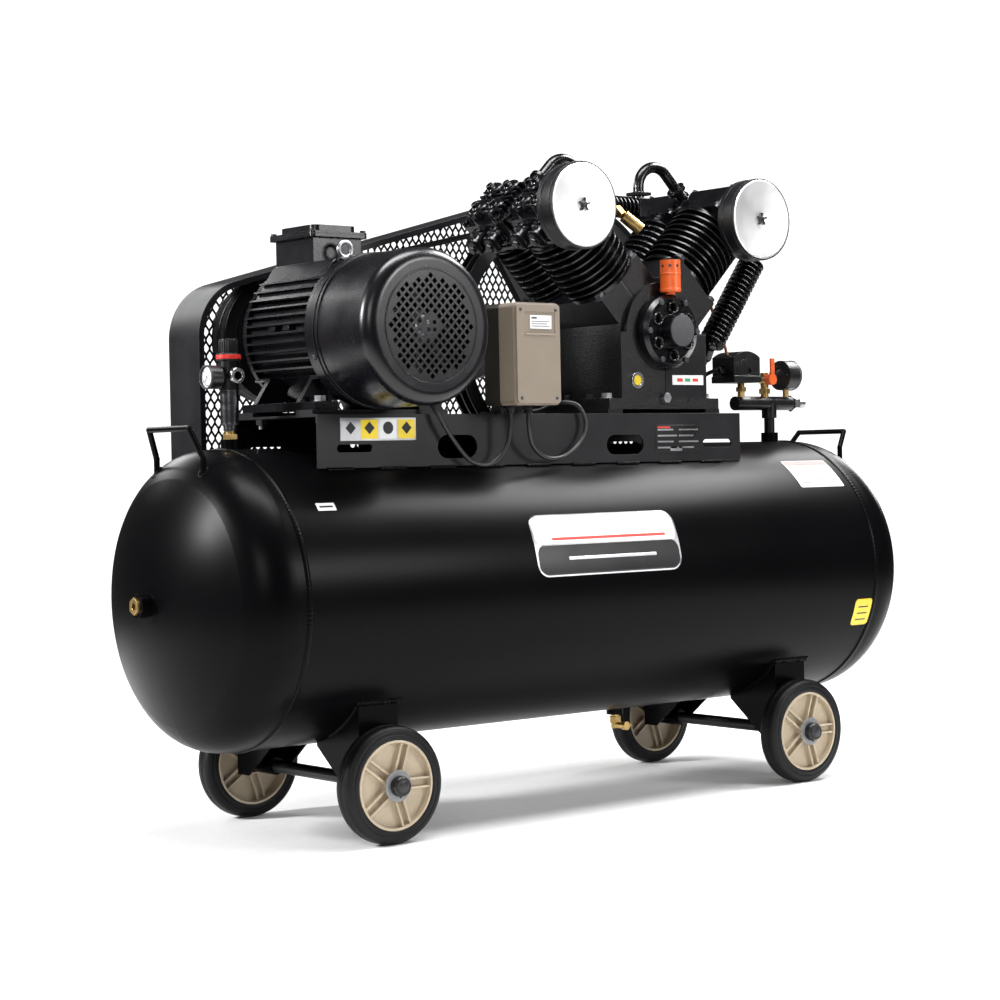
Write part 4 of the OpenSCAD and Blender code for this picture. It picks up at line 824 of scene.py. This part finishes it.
TANK_GAUGE_Z = pivot("tank_gauge")[2]
OUTLET_GAUGE_Z = pivot("outlet_gauge")[2]
dial("tank_gauge", 694, TANK_GAUGE_Z, 27, 1)
dial("outlet_gauge", -686, OUTLET_GAUGE_Z, 17.5, -1)
bm = bmesh.new()
lathe(bm, [(27.0, 0), (27.4, 1.0), (29.6, 1.2), (30.6, 0), (30.6, -4), (30.1, -5)],
      to_x(700, 0, TANK_GAUGE_Z), 80)
lathe(bm, [(17.5, 0), (17.8, 0.8), (19.2, 0.9), (20.0, 0), (20.0, -3), (19.5, -4)],
      to_x(-690, 0, OUTLET_GAUGE_Z, -1), 64)
finish("gauge_bezels", bm, dark_steel)
bm = bmesh.new()
lathe(bm, [(0, 0.6), (10, 0.6), (12, 0)], to_x(667, 0, TANK_GAUGE_Z, -1), 40)
for k in range(3):
    a = 2 * math.pi * k / 3 + 0.5
    lathe(bm, [(0, 1.1), (1.8, 1.1), (2.4, 0)],
          to_x(667, 20 * math.sin(a), TANK_GAUGE_Z + 20 * math.cos(a), -1), 16)
finish("gauge_back", bm, drum)

# ---------------------------------------------------------------- regulator and switch
KNOB_X = pivot("regulator_turn")[0]
bm = bmesh.new()
lathe(bm, [(20.0, 0), (20.9, 0.6), (20.9, 6.4), (20.0, 7)], Matrix.Translation((KNOB_X, 0, 799)), 64)
finish("regulator_ring", bm, red, "pressure_knob")
bm = bmesh.new()
for k in range(24):
    at = Matrix.Translation((KNOB_X, 0, 0)) @ Matrix.Rotation(2 * math.pi * k / 24, 4, "Z")
    box(bm, (14.2, -0.9, 810), (15.9, 0.9, 829), at)
finish("regulator_ribs", bm, plastic, "pressure_knob", bevel=0.3)
bm = bmesh.new()
lathe(bm, [(7.2, 0), (7.6, 1.6), (12.4, 1.8), (13, 1), (13, -5), (12.2, -6)], to_y(KNOB_X, -27, 771, -1), 48)
finish("regulator_port_ring", bm, bright)
bm = bmesh.new()
for x in range(8):
    box(bm, (507 + 4.6 * x, -31.2, 784), (509 + 4.6 * x, -29.4, 806 + 1.2 * x))
finish("switch_ribs", bm, plastic, bevel=0.4)
bm = bmesh.new()
for x, y in ((512, -26), (573, -26), (512, 26), (573, 26)):
    lathe(bm, [(0, 1.8), (3, 1.8), (4, 1.0), (4.2, 0)], Matrix.Translation((x, y, 780)), 20)
finish("switch_screws", bm, steel)

# ---------------------------------------------------------------- motor
MOTOR_X, _, MOTOR_Z = pivot("motor_spin")
bm = bmesh.new()
for a in (20, 110, 200, 290):
    c, s = math.cos(math.radians(a)), math.sin(math.radians(a))
    at = (Matrix.Translation((MOTOR_X, -104, MOTOR_Z)) @ Matrix.Rotation(-math.radians(a), 4, "Y")
          @ Matrix.Translation((131.6, 0, 0)) @ Matrix.Rotation(math.radians(90), 4, "Y"))
    lathe(bm, [(0, 3), (3.5, 3), (4.6, 1.8), (4.8, -0.6)], at, 20)
finish("cowl_screws", bm, dark_steel)
bm = bmesh.new()
lathe(bm, [(92.2, 0), (92.8, 1.2), (94.2, 1.2), (94.8, 0)], to_y(MOTOR_X, -259.4, MOTOR_Z, -1), 128)
finish("cowl_groove", bm, motor_paint)

house_lo, house_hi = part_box("motor_housing")
saddle = [(-60, 122), (-66, 116), (-101, 66), (-104, 57), (-92, 57), (-56, 93), (-56, 122)]
bm = bmesh.new()
for s in (-1, 1):
    ends = [[bm.verts.new((MOTOR_X + s * x, y / MM, MOTOR_Z + z)) for x, z in saddle]
            for y in (house_lo.y + 0.034, house_hi.y - 0.002)]
    for k in range(len(saddle)):
        after = (k + 1) % len(saddle)
        bm.faces.new((ends[0][k], ends[0][after], ends[1][after], ends[1][k]))
    bm.faces.new(ends[0])
    bm.faces.new(ends[1])
finish("housing_saddle", bm, motor_paint, bevel=2.5)
bm = bmesh.new()
for s in (-1, 1):
    for y in (-20, 22):
        x = MOTOR_X + s * 118
        box(bm, (x - 6, y - 9, MOTOR_Z + 3), (x + 6, y + 9, MOTOR_Z + 12))
finish("housing_blocks", bm, motor_paint, bevel=1)

# ---------------------------------------------------------------- floor, world and lights
bm = bmesh.new()
bmesh.ops.create_circle(bm, cap_ends=True, segments=96, radius=14)
floor_mesh = bpy.data.meshes.new("floor")
bm.to_mesh(floor_mesh)
bm.free()
floor = bpy.data.objects.new("floor", floor_mesh)
scene.collection.objects.link(floor)
fm, t, p = graph("floor_paper")
grain = node(t, "ShaderNodeTexNoise", Scale=60.0, Detail=4.0)
t.links.new(coords(t), grain.inputs["Vector"])
t.links.new(blend_colour(t, spread(t, grain.outputs[0], 0, 1), (0.86, 0.86, 0.86), (0.9, 0.9, 0.9)),
            p.inputs["Base Color"])
p.inputs["Roughness"].default_value = 0.8
p.inputs["Specular IOR Level"].default_value = 0.1
length = t.nodes.new("ShaderNodeVectorMath")
length.operation = "LENGTH"
t.links.new(coords(t), length.inputs[0])
fade = node(t, "ShaderNodeMapRange")
fade.inputs["From Min"].default_value = 1.3
fade.inputs["From Max"].default_value = 4.0
fade.interpolation_type = "SMOOTHSTEP"
t.links.new(length.outputs["Value"], fade.inputs["Value"])
clear = t.nodes.new("ShaderNodeBsdfTransparent")
mix = t.nodes.new("ShaderNodeMixShader")
t.links.new(fade.outputs["Result"], mix.inputs["Fac"])
t.links.new(p.outputs[0], mix.inputs[1])
t.links.new(clear.outputs[0], mix.inputs[2])
t.links.new(mix.outputs[0], t.nodes["Material Output"].inputs["Surface"])
floor.data.materials.append(fm)

world = bpy.data.worlds.new("studio")
scene.world = world
world.use_nodes = True
t = world.node_tree
back = t.nodes["Background"]
back.inputs["Color"].default_value = (1, 1, 1, 1)
back.inputs["Strength"].default_value = 0.05
white = t.nodes.new("ShaderNodeBackground")
white.inputs["Strength"].default_value = 1.6
rays = t.nodes.new("ShaderNodeLightPath")
choose = t.nodes.new("ShaderNodeMixShader")
t.links.new(rays.outputs["Is Camera Ray"], choose.inputs["Fac"])
t.links.new(back.outputs[0], choose.inputs[1])
t.links.new(white.outputs[0], choose.inputs[2])
t.links.new(choose.outputs[0], t.nodes["World Output"].inputs["Surface"])


def softbox(name, place, aim, size, power):
    light = bpy.data.lights.new(name, "AREA")
    light.shape = "RECTANGLE"
    light.size, light.size_y = size
    light.energy = power
    o = bpy.data.objects.new(name, light)
    o.location = place
    o.rotation_euler = (Vector(aim) - Vector(place)).to_track_quat("-Z", "Y").to_euler()
    scene.collection.objects.link(o)


softbox("top", (2.1, -0.45, 2.95), (0.1, -0.1, 0.6), (1.5, 1.1), 135)
softbox("key", (1.7, -3.7, 1.9), (0.1, 0, 0.8), (1.3, 1.0), 70)
softbox("overhead", (-0.3, -0.5, 3.2), (0, 0, 0.7), (2.2, 0.8), 110)
softbox("fill", (-3.6, -3.2, 2.2), (0, 0, 0.8), (1.4, 1.2), 45)
softbox("left", (-3.2, 1.1, 1.85), (-0.77, -0.13, 0.54), (0.3, 0.8), 150)
softbox("rim_right", (2.8, 0.9, 1.7), (0.4, 0, 0.6), (0.5, 1.8), 30)
softbox("back", (-0.5, 3.2, 2.2), (0, 0, 0.7), (2.4, 0.8), 50)
